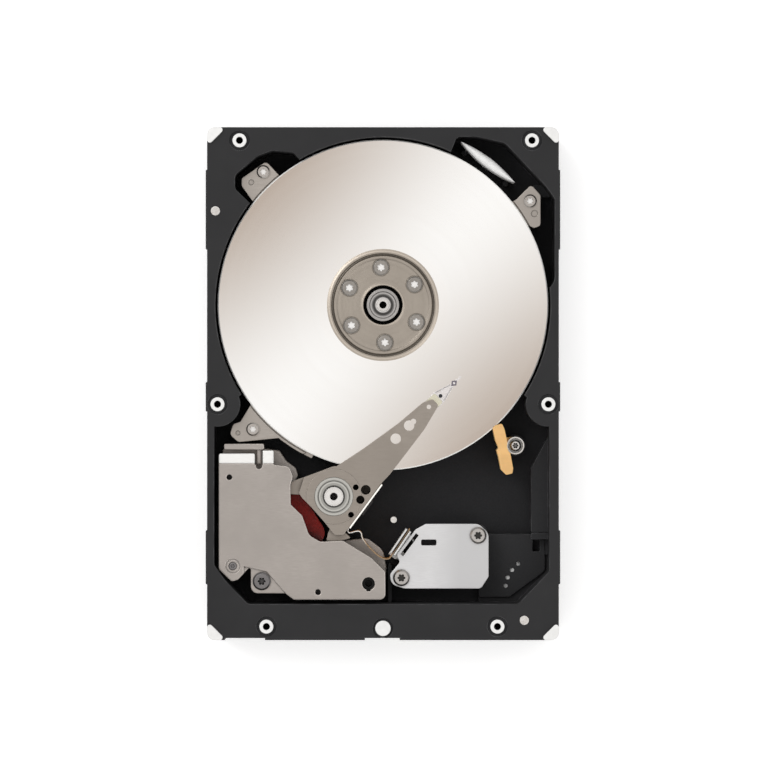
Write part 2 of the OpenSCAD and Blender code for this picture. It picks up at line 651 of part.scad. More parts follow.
module arm_block() {
    color([0.62, 0.59, 0.55]) in_arm_frame() difference() {
        union() {
            translate([0, 0, block_under]) linear_extrude(block_top - block_under) block_outline();
            for (i = [0 : PLATTERS]) translate([0, 0, arm_z(i) - arm_t / 2])
                linear_extrude(arm_t) arm_outline();
            // Arms that reach round the coil
            translate([0, 0, coil_mid_z - 4]) linear_extrude(8) intersection() {
                circle(r = 12.9, $fn = 96);
                union() {
                    polygon(rounded([[-1, 6, 0], [0, 8.85, 0], [-8, 12.25, 0.5], [-10, 11.4, 0.5],
                                     [-8.5, 8.8, 1], [-7, 6.4, 0.3], [-5.5, 4, 0]]));
                    polygon(rounded([[-5, -5, 0], [-4.7, -12, 0.8], [-9, -13.4, 0.5], [-12, -9, 0.5],
                                     [-8.6, -6.6, 0]]));
                }
            }
            // Raised land round the pivot
            translate([0, 0, block_top - eps]) linear_extrude(0.2) intersection() {
                circle(r = 7.9, $fn = 96);
                block_outline();
            }
        }
        post([0, 0], 5.55, 5, 24);
        // Room for the coil
        rotate([0, 0, coil_turn]) translate([0, 0, coil_mid_z - coil_t / 2 - 0.3])
            linear_extrude(coil_t + 0.6) coil_outline(-0.02);
        // Ways through for the screws and pins of the arm's assembly
        for (hole = [[6.4, -2.4, 0.85], [8, -4.9, 1.4], [4.9, -5.9, 1.2], [0, -7.2, 0.85]])
            post(hole, hole[2], 12, block_top + 1);
    }
}
module pivot_shaft() {
    color(machined) translate([pivot[0], pivot[1], 0]) difference() {
        union() {
            post([0, 0], 1.5, 5.6, 22.4);
            post([0, 0], 2.75, floor_top, 7.4);
            post([0, 0], 2.75, 21.7, 22.4);
        }
        post([0, 0], 1.1, 9, 24);
    }
}
module pivot_sleeve() {
    color(steel) at_pivot() {
        tube(5.5, 4.6, 7.6, 21.2);
        tube(4.61, 4.2, 12, 17.2);
        tube(5.5, 2.9, 21.1, 21.6);
        tube(5.5, 4.5, 21.5, 22);
    }
}
bearing_z = [9.8, 19.4];
ball_circle_r = 3.4;
ball_r = 0.95;
groove_r = 1;
module pivot_inner_races() {
    color(machined) at_pivot() for (z = bearing_z) difference() {
        tube(2.6, 1.51, z - 1.5, z + 1.5);
        translate([0, 0, z]) rotate_extrude() translate([ball_circle_r, 0]) circle(r = groove_r, $fn = 48);
    }
}
module pivot_outer_races() {
    color(machined) at_pivot() for (z = bearing_z) difference() {
        tube(4.59, 4.1, z - 1.5, z + 1.5);
        translate([0, 0, z]) rotate_extrude() translate([ball_circle_r, 0]) circle(r = groove_r, $fn = 48);
    }
}
module pivot_balls() {
    color(steel) at_pivot() for (z = bearing_z, a = [0 : 45 : 315])
        rotate([0, 0, a]) translate([ball_circle_r, 0, z]) sphere(r = ball_r, $fn = 32);
}
module coil_outline(inset) {
    polygon(rounded([[-7.4 - inset, -9.2 + inset, 3.6 - inset], [-25.4 + inset, -9.3 + inset, 3.6 - inset],
                     [-25.4 + inset, 9.3 - inset, 3.6 - inset], [-7.4 - inset, 9.2 - inset, 3.6 - inset]]));
}
module in_coil_frame() {
    in_arm_frame() rotate([0, 0, coil_turn]) translate([0, 0, coil_mid_z - coil_t / 2])
        linear_extrude(coil_t) children();
}
module voice_coil() {
    color(copper) in_coil_frame() difference() {
        coil_outline(0);
        coil_outline(coil_wall);
    }
}
module coil_frame() {
    color([0.75, 0.72, 0.62]) in_coil_frame() difference() {
        // The ears at the far corners meet the crash stops
        polygon(rounded([[-9.8, -10.3, 0.5], [-21.2, -10.5, 0.8], [-22.1, -14.5, 0.7], [-24.1, -15.6, 0.7],
                         [-25.6, -13, 0.8], [-26.2, -10.2, 1.5], [-27.4, -8.2, 1], [-27.4, 4.6, 0.6],
                         [-30.4, 5.2, 0.7], [-30.1, 7.9, 0.6], [-28.2, 7.5, 0.5], [-27.2, 8.4, 0.6],
                         [-25.8, 10.4, 1.5], [-9.8, 10.4, 0.5]]));
        coil_outline(-0.02);
        // Open towards the arm block, whose arms reach in beside the coil
        circle(r = 12.95, $fn = 96);
    }
}
// Direction of each head's face: up (1) to the platter above its arm, or down (-1) to the one below
HEADS = concat([[0, 1]], [for (i = [1 : PLATTERS - 1]) each [[i, -1], [i, 1]]], [[PLATTERS, -1]]);

module head_suspensions() {
    color(machined) in_arm_frame() for (head = HEADS)
        translate([0, 0, arm_z(head[0]) + head[1] * (arm_t / 2 + 0.06) - 0.06])
        linear_extrude(0.12) difference() {
            polygon([[34.6, -1.9], [34.6, 1.9], [39.8, 1.9], [41, 2.1], [46.2, 0.75], [48, 0.3], [50.3, 0.25],
                     [50.3, -0.25], [48, -0.3], [46.2, -0.75], [41, -2.1], [39.8, -1.9]]);
            translate([37.5, 0]) circle(r = 0.65);
            translate([42, 0]) circle(r = 0.5);
        }
}
module head_sliders() {
    color([0.25, 0.25, 0.27]) in_arm_frame() for (head = HEADS)
        translate([head_reach - 0.62, -0.5, arm_z(head[0]) + head[1] * (arm_t / 2 + 0.27) - 0.14])
            cube([1.24, 1, 0.28]);
}
module arm_flex() {
    color([0.8, 0.75, 0.6]) in_arm_frame()
        plate([[-2.9, -9.95, 0], [-2.9, -9.5, 0], [12.4, -6.75, 0], [12.4, -7.2, 0]], 9.6, block_top + 0.2);
}
module preamp_chip() {
    color(dark_plastic) in_arm_frame()
        plate([[2.2, -9.8, 0], [2.2, -9.05, 0], [7, -8.2, 0], [7, -8.95, 0]], 12, 17);
}

// ---- Flex cable, bracket and head connector ----

// Centre line of the flex: from the arm block round its loop to the bracket's clamp
flex_route = concat(
    [[-9.8, -41.6], [-10, -41.9]],
    [for (a = [150 : 26 : 280]) [-9.5, -42.3] + 0.6 * [cos(a), sin(a)]],
    [[-8.3, -42.6], [-7.3, -42.4], [-6.6, -42.6], [-6.2, -43.2], [-6, -44.2], [-5.4, -45.3], [-3.6, -47.5],
     [-1.4, -49.5], [0.4, -50.4], [1.6, -50.4], [2.1, -50]],
    [for (t = [0.1 : 0.1 : 1]) [2.3, -49.8] + t * [5.4, 8]]
);
module flex_cable() {
    color([0.8, 0.62, 0.3]) translate([0, 0, 10.4]) linear_extrude(9) polygon(strip(flex_route, 0.24));
}
module flex_clamp() {
    color(machined) {
        for (shift = [-0.95, 0.35]) translate([shift * 0.83, shift * -0.56, 10.2])
            linear_extrude(10) polygon(strip([for (t = [0 : 0.5 : 1]) [3, -49.1] + t * [4.6, 6.8]], 0.5));
        // Foot that reaches under the bracket to the connector
        difference() {
            plate([[1.6, -49.2, 0], [6.7, -41.7, 0], [9.9, -46.9, 0.5], [9.9, -50.8, 0.5],
                   [3.4, -50.8, 0.5]], 9.5, 10.25);
            plate([[5.2, -48.3, 0.3], [7.9, -44.4, 0.3], [9.3, -46.7, 0.3], [7.2, -49.9, 0.3]], 9, 11);
        }
    }
}
module flex_bracket() {
    color([0.88, 0.88, 0.88]) difference() {
        plate([[6.2, -59, 3], [28.2, -59, 1.5], [30.4, -55.6, 1], [30.4, -43, 3], [27.6, -40.4, 2.8],
               [12.3, -40.4, 1], [9.4, -42, 1], [3.9, -49.2, 1], [4.9, -51.4, 1], [2, -54.9, 1.2],
               [2.4, -57.8, 2.4]], bracket_z, bracket_z + bracket_t);
        for (at = bracket_screws_at) post(at, 1.15, 0, 20);
        plate(box_corners(11, -46.6, 15.4, -44.9, 0.4), 0, 20);
        plate([[5, -49.1, 0], [9.5, -43.1, 0], [10.3, -43.7, 0], [5.8, -49.7, 0]], 0, 20);
    }
}
module bracket_screws() {
    color(steel) for (at = bracket_screws_at)
        torx_screw(at, bracket_z + bracket_t, 2.4, 1.3, 1, 7, 1.15);
}
module head_connector() {
    color([0.16, 0.15, 0.14]) difference() {
        union() {
            plate(box_corners(9, -56.5, 24.5, -51, 0.6), floor_top + 0.7, bracket_z - 0.02);
            plate(box_corners(10, -52, 23, -47, 0.6), 2.6, bracket_z - 0.02);
        }
        for (x = [11.2 : 1.5 : 22]) plate(box_corners(x - 0.3, -50.4, x + 0.3, -48.8, 0), 0, 4);
    }
}
module connector_seal() {
    color([0.1, 0.1, 0.1]) difference() {
        plate(box_corners(8.3, -57.2, 25.2, -45.4, 1), floor_top, floor_top + 0.65);
        plate(box_corners(9.98, -52.02, 23.02, -46.98, 0.6), 0, 20);
    }
}
module breather_filter() {
    color([0.9, 0.9, 0.88]) breather_plate(0.2, 3.4, breather_top);
}

// ---- Circuit board ----

module circuit_board() {
    color([0.08, 0.3, 0.2]) translate([0, 0, board_z]) difference() {
        linear_extrude(board_t) board_outline(0);
        for (at = board_screws_at) translate([at[0], at[1], -1]) cylinder(r = 1.15, h = 4);
    }
}
module sata_connector() {
    width = 42.6;
    color(dark_plastic) translate([sata_x, -half_l, sata_z]) difference() {
        translate([-width / 2, 0.2, -2.6]) difference() {
            cube([width, 9, 5.3]);
            // The board slips in under the housing's back
            translate([-1, 2.38, -1]) cube([width + 2, 8, board_z + board_t - sata_z + 3.6 + 0.02]);
        }
        // Power socket, then signal socket, each round a tongue with a key at one end
        difference() {
            translate([-19.8, -1, -1.9]) cube([22.9, 7.2, 3.9]);
            translate([-18.7, 0, -0.1]) cube([20.6, 7, 1.2]);
            translate([-18.7, 0, -1.3]) cube([1.2, 7, 2.4]);
        }
        difference() {
            translate([4.9, -1, -1.9]) cube([14.1, 7.2, 3.9]);
            translate([6.6, 0, -0.1]) cube([10.4, 7, 1.2]);
            translate([15.8, 0, -1.3]) cube([1.2, 7, 2.4]);
        }
    }
}
module sata_contacts() {
    color([0.9, 0.72, 0.3]) translate([sata_x, -half_l, sata_z - 0.22]) {
        for (i = [0 : 14]) translate([-16.3 + i * 1.27 - 0.4, 1, 0]) cube([0.8, 4.6, 0.11]);
        for (i = [0 : 6]) translate([7.4 + i * 1.27 - 0.4, 1, 0]) cube([0.8, 4.6, 0.11]);
    }
}
module jumper_block() {
    color(dark_plastic) translate([jumpers_x - 4, -half_l + 4, board_z + board_t]) cube([8, 2.4, 3.7]);
    color([0.9, 0.72, 0.3]) for (i = [0 : 3], row = [0, 1])
        translate([jumpers_x - 3 + i * 2 - 0.25, -half_l + 0.5, board_z + board_t + 0.9 + row * 2 - 0.25])
            cube([0.5, 3.52, 0.5]);
}
module chip(at, size_x, size_y, height) {
    inner = board_z + board_t;
    plate(box_corners(at[0] - size_x / 2, at[1] - size_y / 2, at[0] + size_x / 2, at[1] + size_y / 2, 0.3),
          inner, inner + height);
}
module controller_chip() {
    color(dark_plastic) chip([-14, -40], 14, 14, 1.3);
}
module memory_chip() {
    color(dark_plastic) chip([-31, -40], 9, 12, 1);
}
module motor_driver_chip() {
    color(dark_plastic) chip([10, -20], 8, 8, 1);
}
module board_small_parts() {
    color([0.55, 0.5, 0.42]) {
        for (i = [0 : 5]) chip([-34 + i * 5, -60.5], 1.6, 0.9, 0.8);
        for (i = [0 : 4]) chip([-26 + i * 6, -26], 0.9, 1.6, 0.8);
        for (i = [0 : 3]) chip([18 + i * 3.4, -32], 1.2, 2.2, 1);
        for (at = [[24, -13], [31, -13]]) chip(at, 5, 5, 1.8);
        for (i = [0 : 3]) chip([-30 + i * 4.5, -12], 2.8, 2, 1.4);
    }
}
module board_foam_pad() {
    color([0.15, 0.15, 0.17]) difference() {
        plate(box_corners(-36.4, -54, 4, -31, 2), 4, floor_under);
        plate(box_corners(-22, -48, -6, -32.6, 0.5), 0, 10);
    }
}
module board_screws() {
    color(steel) for (at = board_screws_at) translate([at[0], at[1], board_z]) mirror([0, 0, 1])
        torx_screw([0, 0], 0, 2.2, 0.9, 1, 4, 1);
}

base_casting();
cover_dowel_pins();
locating_pin();
motor_shaft();
stator_core();
stator_coils();
motor_contacts();
damper_plates();
damper_screws();
recirculation_filter();
load_ramp();
ramp_screw();
vcm_bottom_plate();
vcm_bottom_magnet();
vcm_top_magnet();
vcm_top_plate();
vcm_standoffs();
vcm_screws();
crash_stop_pins();
crash_stop_sleeves();
pivot_shaft();
pivot_inner_races();
flex_bracket();
bracket_screws();
flex_clamp();
head_connector();
connector_seal();
breather_filter();
flex_cable();
circuit_board();
sata_connector();
sata_contacts();
jumper_block();
controller_chip();
memory_chip();
motor_driver_chip();
board_small_parts();
board_foam_pad();
board_screws();
spindle_hub();
bearing_sleeve();
rotor_magnet();
disk_clamp();
clamp_screws();
platter_spacers();
for (i = [1 : PLATTERS]) platter(i);
arm_block();
pivot_sleeve();
pivot_outer_races();
pivot_balls();
voice_coil();
coil_frame();
head_suspensions();
head_sliders();
arm_flex();
preamp_chip();
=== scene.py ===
import json
import math

import bmesh
import bpy
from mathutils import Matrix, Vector


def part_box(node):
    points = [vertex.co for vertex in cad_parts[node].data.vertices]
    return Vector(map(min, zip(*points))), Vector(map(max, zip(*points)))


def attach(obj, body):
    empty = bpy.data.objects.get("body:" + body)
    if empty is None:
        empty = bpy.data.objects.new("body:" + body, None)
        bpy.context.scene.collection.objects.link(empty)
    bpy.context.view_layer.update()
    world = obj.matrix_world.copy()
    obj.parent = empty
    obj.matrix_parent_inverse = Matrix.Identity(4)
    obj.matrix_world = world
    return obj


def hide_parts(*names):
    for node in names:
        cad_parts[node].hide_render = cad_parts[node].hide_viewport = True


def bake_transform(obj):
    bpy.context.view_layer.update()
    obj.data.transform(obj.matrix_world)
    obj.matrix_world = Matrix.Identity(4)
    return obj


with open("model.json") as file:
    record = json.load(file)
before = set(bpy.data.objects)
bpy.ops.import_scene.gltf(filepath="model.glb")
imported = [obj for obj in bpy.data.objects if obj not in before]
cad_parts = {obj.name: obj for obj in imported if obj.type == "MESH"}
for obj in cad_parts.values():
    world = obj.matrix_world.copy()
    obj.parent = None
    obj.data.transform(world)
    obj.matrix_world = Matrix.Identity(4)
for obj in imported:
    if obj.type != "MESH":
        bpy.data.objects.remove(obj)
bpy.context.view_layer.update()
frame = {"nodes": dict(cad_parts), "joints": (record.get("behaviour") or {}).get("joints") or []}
nodes = frame["nodes"]
MM = 0.001


# ---- Places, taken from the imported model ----

def joint_at(name):
    joint = next(j for j in frame["joints"] if j["name"] == name)
    return Vector(joint["pos_m"])


SPINDLE = joint_at("spindle_spin")
PIVOT = joint_at("actuator_swing")
PAD_RISE = 0.8 * MM
RIM_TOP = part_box("base_casting")[1].z - PAD_RISE
PLATTER_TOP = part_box("platter_4")[1].z


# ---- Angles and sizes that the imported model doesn't state, as in the CAD; sizes in mm ----

ARM_ANGLE = math.radians(43.3)
ARM_AXIS = Vector((math.cos(ARM_ANGLE), math.sin(ARM_ANGLE), 0))
ARM_SIDE = Vector((-math.sin(ARM_ANGLE), math.cos(ARM_ANGLE), 0))
COIL_TURN = math.radians(-11)
COIL_WALL = 4.3
COIL_CORNER = 3.6
PLATTERS = 4
STACK_Z = 9
PLATTER_T = 1.27
ARM_PITCH = 3.3
ARM_T = 1.0
LOWEST_ARM = STACK_Z - (ARM_PITCH - PLATTER_T) / 2
# Each head's arm, counted from 0, and the side of it that carries the head: 1 above, -1 below
HEADS = [(0, 1)] + [(i, side) for i in range(1, PLATTERS) for side in (-1, 1)] + [(PLATTERS, -1)]


def on_arm(x, y, z):
    """A point of the arm's own frame, in mm from the pivot, in the row frame."""
    p = Vector((PIVOT.x, PIVOT.y, 0)) + ARM_AXIS * (x * MM) + ARM_SIDE * (y * MM)
    return Vector((p.x, p.y, z * MM))


def on_coil(x, y, z):
    """A point of the coil's frame, which is turned a little from the arm's."""
    return on_arm(x * math.cos(COIL_TURN) - y * math.sin(COIL_TURN),
                  x * math.sin(COIL_TURN) + y * math.cos(COIL_TURN), z)


# ---- Materials ----

def set_range(map_range, low, high, to_low, to_high):
    for key, number in (("From Min", low), ("From Max", high), ("To Min", to_low), ("To Max", to_high)):
        map_range.inputs[key].default_value = number


class Surface:
    """A Principled material whose sockets are fed by small node graphs in object space."""

    def __init__(self, name, roughness=0.5, metallic=0.0, specular=0.5, coat=0.0, coat_roughness=0.1):
        self.mat = bpy.data.materials.new(name)
        self.mat.use_nodes = True
        self.tree = self.mat.node_tree
        self.shader = self.tree.nodes["Principled BSDF"]
        self.shader.inputs["Roughness"].default_value = roughness
        self.shader.inputs["Metallic"].default_value = metallic
        self.shader.inputs["Specular IOR Level"].default_value = specular
        self.shader.inputs["Coat Weight"].default_value = coat
        self.shader.inputs["Coat Roughness"].default_value = coat_roughness
        self.place = self.node("ShaderNodeTexCoord").outputs["Object"]
        self.normal = None

    def node(self, kind, **settings):
        made = self.tree.nodes.new(kind)
        for key, value in settings.items():
            setattr(made, key, value)
        return made

    def put(self, socket, value):
        if isinstance(value, bpy.types.NodeSocket):
            self.tree.links.new(value, socket)
        else:
            socket.default_value = value

    def maths(self, operation, a, b=0.0):
        made = self.node("ShaderNodeMath", operation=operation)
        self.put(made.inputs[0], a)
        self.put(made.inputs[1], b)
        return made.outputs[0]

    def vector(self, operation, a, b=(0, 0, 0)):
        made = self.node("ShaderNodeVectorMath", operation=operation)
        self.put(made.inputs[0], a)
        self.put(made.inputs[1], b)
        return made.outputs["Value" if operation in ("LENGTH", "DOT_PRODUCT") else "Vector"]

    def split(self, vector):
        made = self.node("ShaderNodeSeparateXYZ")
        self.put(made.inputs[0], vector)
        return made.outputs

    def mapped(self, turn=0.0, stretch=(1, 1, 1), centre=(0, 0, 0)):
        """Object coordinates about a centre, turned round Z and stretched."""
        made = self.node("ShaderNodeMapping", vector_type="POINT")
        self.put(made.inputs["Vector"], self.vector("SUBTRACT", self.place, tuple(centre)))
        made.inputs["Rotation"].default_value = (0, 0, turn)
        made.inputs["Scale"].default_value = stretch
        return made.outputs[0]

    def noise(self, scale, detail=3.0, vector=None, roughness=0.55):
        made = self.node("ShaderNodeTexNoise")
        self.put(made.inputs["Vector"], vector or self.place)
        made.inputs["Scale"].default_value = scale
        made.inputs["Detail"].default_value = detail
        made.inputs["Roughness"].default_value = roughness
        return made.outputs["Fac"]

    def cells(self, scale, vector=None):
        """Distance to the nearest of many scattered points."""
        made = self.node("ShaderNodeTexVoronoi")
        self.put(made.inputs["Vector"], vector or self.place)
        made.inputs["Scale"].default_value = scale
        return made.outputs["Distance"]

    def fit(self, value, low, high, to_low=0.0, to_high=1.0):
        """value taken from low..high to to_low..to_high, held at the ends."""
        made = self.node("ShaderNodeMapRange")
        self.put(made.inputs["Value"], value)
        set_range(made, low, high, to_low, to_high)
        return made.outputs[0]

    def mix(self, share, a, b):
        made = self.node("ShaderNodeMix", data_type="RGBA")
        self.put(made.inputs[0], share)
        for socket, colour in ((made.inputs[6], a), (made.inputs[7], b)):
            self.put(socket, colour if isinstance(colour, bpy.types.NodeSocket) else (*colour, 1))
        return made.outputs[2]

    def rings(self, centre, scale):
        """A fine wave of turned rings round a vertical axis, and the distance from that axis."""
        flat = self.vector("MULTIPLY", self.vector("SUBTRACT", self.place, tuple(centre)), (1, 1, 0))
        radius = self.vector("LENGTH", flat)
        return self.maths("SINE", self.maths("MULTIPLY", radius, scale)), radius

    def ring_bands(self, radius, scale, detail):
        """Noise that changes with the distance from an axis alone."""
        made = self.node("ShaderNodeCombineXYZ")
        self.put(made.inputs[0], radius)
        return self.noise(1, detail, self.vector("MULTIPLY", made.outputs[0], (scale, scale, scale)))

    def between(self, value, low, high, soft):
        """1 where value lies between low and high, with soft flanks."""
        return self.maths("MULTIPLY", self.fit(value, low - soft, low),
                          self.fit(value, high, high + soft, 1.0, 0.0))

    def crevice(self, reach, low=0.25, high=0.75):
        """1 deep inside holes and recesses narrower than the reach, 0 on open faces; the materials paint
        shade into holes with it.
        """
        hidden = self.node("ShaderNodeAmbientOcclusion", samples=6, only_local=True)
        hidden.inputs["Distance"].default_value = reach
        return self.fit(hidden.outputs["AO"], low, high, 1.0, 0.0)

    def edges(self, width, low=0.03, high=0.3):
        """1 on sharp edges and 0 away from them; also rounds the edges' shading by that width."""
        bevel = self.node("ShaderNodeBevel", samples=4)
        bevel.inputs["Radius"].default_value = width
        self.normal = bevel.outputs[0]
        true_normal = self.node("ShaderNodeNewGeometry").outputs["Normal"]
        along = self.vector("DOT_PRODUCT", bevel.outputs[0], true_normal)
        return self.fit(self.maths("SUBTRACT", 1.0, along), low, high)

    def bump(self, height, strength, distance):
        made = self.node("ShaderNodeBump")
        made.inputs["Strength"].default_value = strength
        made.inputs["Distance"].default_value = distance
        self.put(made.inputs["Height"], height)
        if self.normal is not None:
            self.put(made.inputs["Normal"], self.normal)
        self.normal = made.outputs[0]

    def colour(self, value):
        self.put(self.shader.inputs["Base Color"], value)

    def rough(self, value):
        self.put(self.shader.inputs["Roughness"], value)

    def metal(self, value):
        self.put(self.shader.inputs["Metallic"], value)

    def done(self):
        if self.normal is not None:
            self.put(self.shader.inputs["Normal"], self.normal)
        return self.mat


def shade(colour, by):
    return tuple(min(1.0, c * by) for c in colour)


def coated_casting():
    """Black electrocoat over die-cast aluminium, left bare on the machined tops of the bosses and pads.
    It is smoother on the rim and the outer walls. Painted light makes the ledges a little paler than the
    floor, a painted highlight runs along the edges, and painted shade blackens the holes."""
    s = Surface("coated_casting", specular=0.25)
    edge = s.edges(0.35 * MM, 0.015, 0.18)
    x, y, height = s.split(s.place)
    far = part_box("base_casting")[1]
    outside = s.maths("MAXIMUM", s.fit(s.maths("ABSOLUTE", x), far.x - 1.2 * MM, far.x - 0.8 * MM),
                      s.fit(s.maths("ABSOLUTE", y), far.y - 1.2 * MM, far.y - 0.8 * MM))
    smooth = s.maths("MAXIMUM", outside, s.fit(height, RIM_TOP - 0.3 * MM, RIM_TOP - 0.1 * MM))
    machined = s.fit(height, RIM_TOP + 0.15 * MM, RIM_TOP + 0.2 * MM)
    blotches = s.noise(90, 4)
    grain = s.noise(2600, 3)
    coat = s.mix(blotches, (0.0085, 0.0085, 0.01), (0.015, 0.015, 0.0165))
    # Painted light: the higher ledges are painted paler than the floor, which lies in more shade.
    ledges = s.fit(height, 8 * MM, 9.4 * MM, 0.0, 0.7)
    coat = s.mix(ledges, coat, (0.029, 0.029, 0.0305))
    coat = s.mix(smooth, coat, s.mix(blotches, (0.012, 0.012, 0.013), (0.021, 0.021, 0.022)))
    # Painted highlight: the edges are painted paler, broken up by noise.
    painted_edge_light = s.maths("MULTIPLY", edge, s.fit(s.noise(240, 4), 0.4, 0.6, 0.1, 0.8))
    coat = s.mix(painted_edge_light, coat, (0.15, 0.15, 0.155))
    turned = s.mix(s.noise(700, 3), (0.72, 0.72, 0.71), (0.88, 0.88, 0.87))
    # Painted shade: holes and recesses are painted near black, and not metal.
    hole_shade = s.crevice(1.5 * MM, 0.2, 0.45)
    s.colour(s.mix(hole_shade, s.mix(machined, coat, turned), (0.004, 0.004, 0.004)))
    s.metal(s.maths("MULTIPLY", s.fit(machined, 0.4, 0.6, 0.0, 0.55), s.maths("SUBTRACT", 1.0, hole_shade)))
    inside = s.fit(grain, 0.3, 0.7, 0.62, 0.78)
    outer = s.fit(grain, 0.3, 0.7, 0.36, 0.46)
    s.rough(s.maths("ADD", s.maths("MULTIPLY", inside, s.maths("SUBTRACT", 1.0, smooth)),
                    s.maths("MULTIPLY", outer, smooth)))
    s.bump(grain, 0.25, 0.04 * MM)
    s.bump(s.noise(500, 2), 0.2, 0.06 * MM)
    return s.done()


def turned_metal(name, colour, centre, roughness, ring=0.12 * MM, depth=0.35, groove_shade=None, light_and_shade_rings=()):
    """Metal cut on a lathe round a vertical axis: fine concentric rings, painted highlights on its edges,
    rings (radii in mm and a gain) painted brighter as highlights where the gain is above one and darker as
    shade where it is below, painted shade in its holes, and a groove between two given radii painted black
    as shade."""
    s = Surface(name, metallic=1.0)
    edge = s.edges(0.18 * MM, 0.05, 0.35)
    wave, radius = s.rings(centre, 2 * math.pi / ring)
    bands = s.ring_bands(radius, 900, 2)
    tone = s.mix(bands, shade(colour, 0.86), shade(colour, 1.08))
    # Painted highlight: the edges are painted brighter.
    tone = s.mix(s.maths("MULTIPLY", edge, 0.7), tone, shade(colour, 1.45))
    tone = s.mix(s.fit(s.noise(260, 4), 0.4, 0.7, 0.0, 0.35), tone, shade(colour, 0.8))
    # Painted highlight and painted shade: rings painted brighter or darker by their gain.
    for near, far, gain in light_and_shade_rings:
        tone = s.mix(s.between(radius, near * MM, far * MM, 0.08 * MM), tone, shade(colour, gain))
    # Painted shade: the groove between the given radii is painted black.
    if groove_shade:
        tone = s.mix(s.between(radius, groove_shade[0] * MM, groove_shade[1] * MM, 0.03 * MM), tone, (0.005, 0.005, 0.005))
    # Painted shade: holes are painted near black.
    s.colour(s.mix(s.crevice(3 * MM, 0.2, 0.6), tone, (0.006, 0.006, 0.006)))
    s.rough(s.fit(bands, 0.3, 0.7, roughness - 0.05, roughness + 0.07))
    s.bump(wave, depth, 0.01 * MM)
    return s.done()


def rolled_metal(name, colour, roughness=0.34, turn=0.0, edge_highlight_gain=1.5, edge_width=0.25 * MM,
                 metallic=1.0, streak=(1, 14, 14), hole_reach=0.9 * MM, strip_highlight=None, fade=None):
    """Stamped sheet or milled metal: a fine grain along one direction, soft stains, rounded edges with a
    painted highlight, painted shade in its holes, a painted white highlight on the ground strip that its
    argument marks, and a fade from one x to another to a share of the tone."""
    s = Surface(name, metallic=metallic)
    edge = s.edges(edge_width, 0.012, 0.16)
    grain = s.noise(420, 4, s.mapped(-turn, streak), 0.6)
    stains = s.noise(75, 3)
    tone = s.mix(s.fit(grain, 0.35, 0.65), shade(colour, 0.92), shade(colour, 1.06))
    tone = s.mix(s.fit(stains, 0.35, 0.7), tone, shade(colour, 0.9))
    if fade:
        tone = s.mix(s.fit(s.split(s.place)[0], fade[0], fade[1]), tone, shade(colour, fade[2]))
    # Painted highlight: the rounded edges are painted brighter.
    tone = s.mix(s.maths("MULTIPLY", edge, 0.85), tone, shade(colour, edge_highlight_gain))
    # Painted highlight: the ground strip is painted near white.
    if strip_highlight is not None:
        tone = s.mix(strip_highlight(s), tone, s.mix(grain, (0.86, 0.86, 0.84), (0.97, 0.97, 0.95)))
    # Painted shade: holes are painted near black.
    s.colour(s.mix(s.crevice(hole_reach), tone, (0.006, 0.006, 0.006)))
    s.rough(s.fit(grain, 0.3, 0.7, roughness - 0.05, roughness + 0.08))
    s.bump(grain, 0.18, 0.02 * MM)
    s.bump(s.noise(3000, 2), 0.08, 0.01 * MM)
    return s.done()


def bright_steel(name="bright_steel", colour=(0.78, 0.77, 0.75), roughness=0.24, glint=0.6, socket=None):
    """Turned and plated steel: nearly even, with painted glints on its edges and painted shade in its
    holes.
    socket is a height and the colour painted on the sockets' floors, which lie below it: pale as a
    highlight, dark as shade."""
    s = Surface(name, metallic=1.0)
    edge = s.edges(0.1 * MM, 0.05, 0.4)
    grain = s.noise(1500, 3)
    tone = s.mix(s.fit(s.noise(260, 3), 0.35, 0.65), shade(colour, 0.92), shade(colour, 1.04))
    # Painted glints: the edges are painted near white.
    tone = s.mix(s.maths("MULTIPLY", edge, glint), tone, (0.97, 0.97, 0.96))
    # Painted shade: holes are painted near black.
    tone = s.mix(s.crevice(3 * MM, 0.45, 0.85), tone, (0.005, 0.005, 0.005))
    # Painted light: the sockets' floors get the given colour, pale as a highlight, dark as shade.
    if socket:
        top, floor = socket
        height = s.split(s.place)[2]
        tone = s.mix(s.fit(height, top - 0.02 * MM, top, 1.0, 0.0), tone, floor)
    s.colour(tone)
    s.rough(s.fit(grain, 0.3, 0.7, roughness - 0.05, roughness + 0.07))
    s.bump(grain, 0.05, 0.01 * MM)
    return s.done()


def polished_disk():
    """A sputtered disk: a warm mirror with the faintest circular texture, a plain zone by the clamp, and
    bare matt metal on its chamfers."""
    s = Surface("polished_disk", metallic=1.0)
    wave, radius = s.rings(SPINDLE, 2 * math.pi / (0.3 * MM))
    bands = s.ring_bands(radius, 420, 3)
    written = s.fit(radius, 18.6 * MM, 18.9 * MM)
    film = s.mix(bands, (0.972, 0.967, 0.95), (0.98, 0.975, 0.958))
    ground = s.fit(radius, 47.17 * MM, 47.2 * MM)
    s.colour(s.mix(ground, s.mix(written, (0.975, 0.965, 0.945), film), (0.93, 0.925, 0.9)))
    s.metal(s.fit(ground, 0.0, 1.0, 1.0, 0.1))
    s.rough(s.maths("ADD", s.fit(bands, 0.3, 0.7, 0.06, 0.07), s.maths("MULTIPLY", ground, 0.45)))
    s.bump(wave, 0.02, 0.001 * MM)
    return s.done()


def wound_copper():
    """Enamelled wire, dark red, with each turn a little different."""
    s = Surface("wound_copper", specular=0.5, coat=0.35, coat_roughness=0.18, metallic=0.35)
    tone = s.mix(s.noise(700, 2), (0.2, 0.014, 0.01), (0.38, 0.016, 0.012))
    s.colour(s.mix(s.fit(s.noise(190, 4), 0.46, 0.68), tone, (0.09, 0.012, 0.01)))
    s.rough(s.fit(s.noise(1500, 2), 0.3, 0.7, 0.28, 0.45))
    s.bump(s.noise(2400, 2), 0.15, 0.02 * MM)
    return s.done()


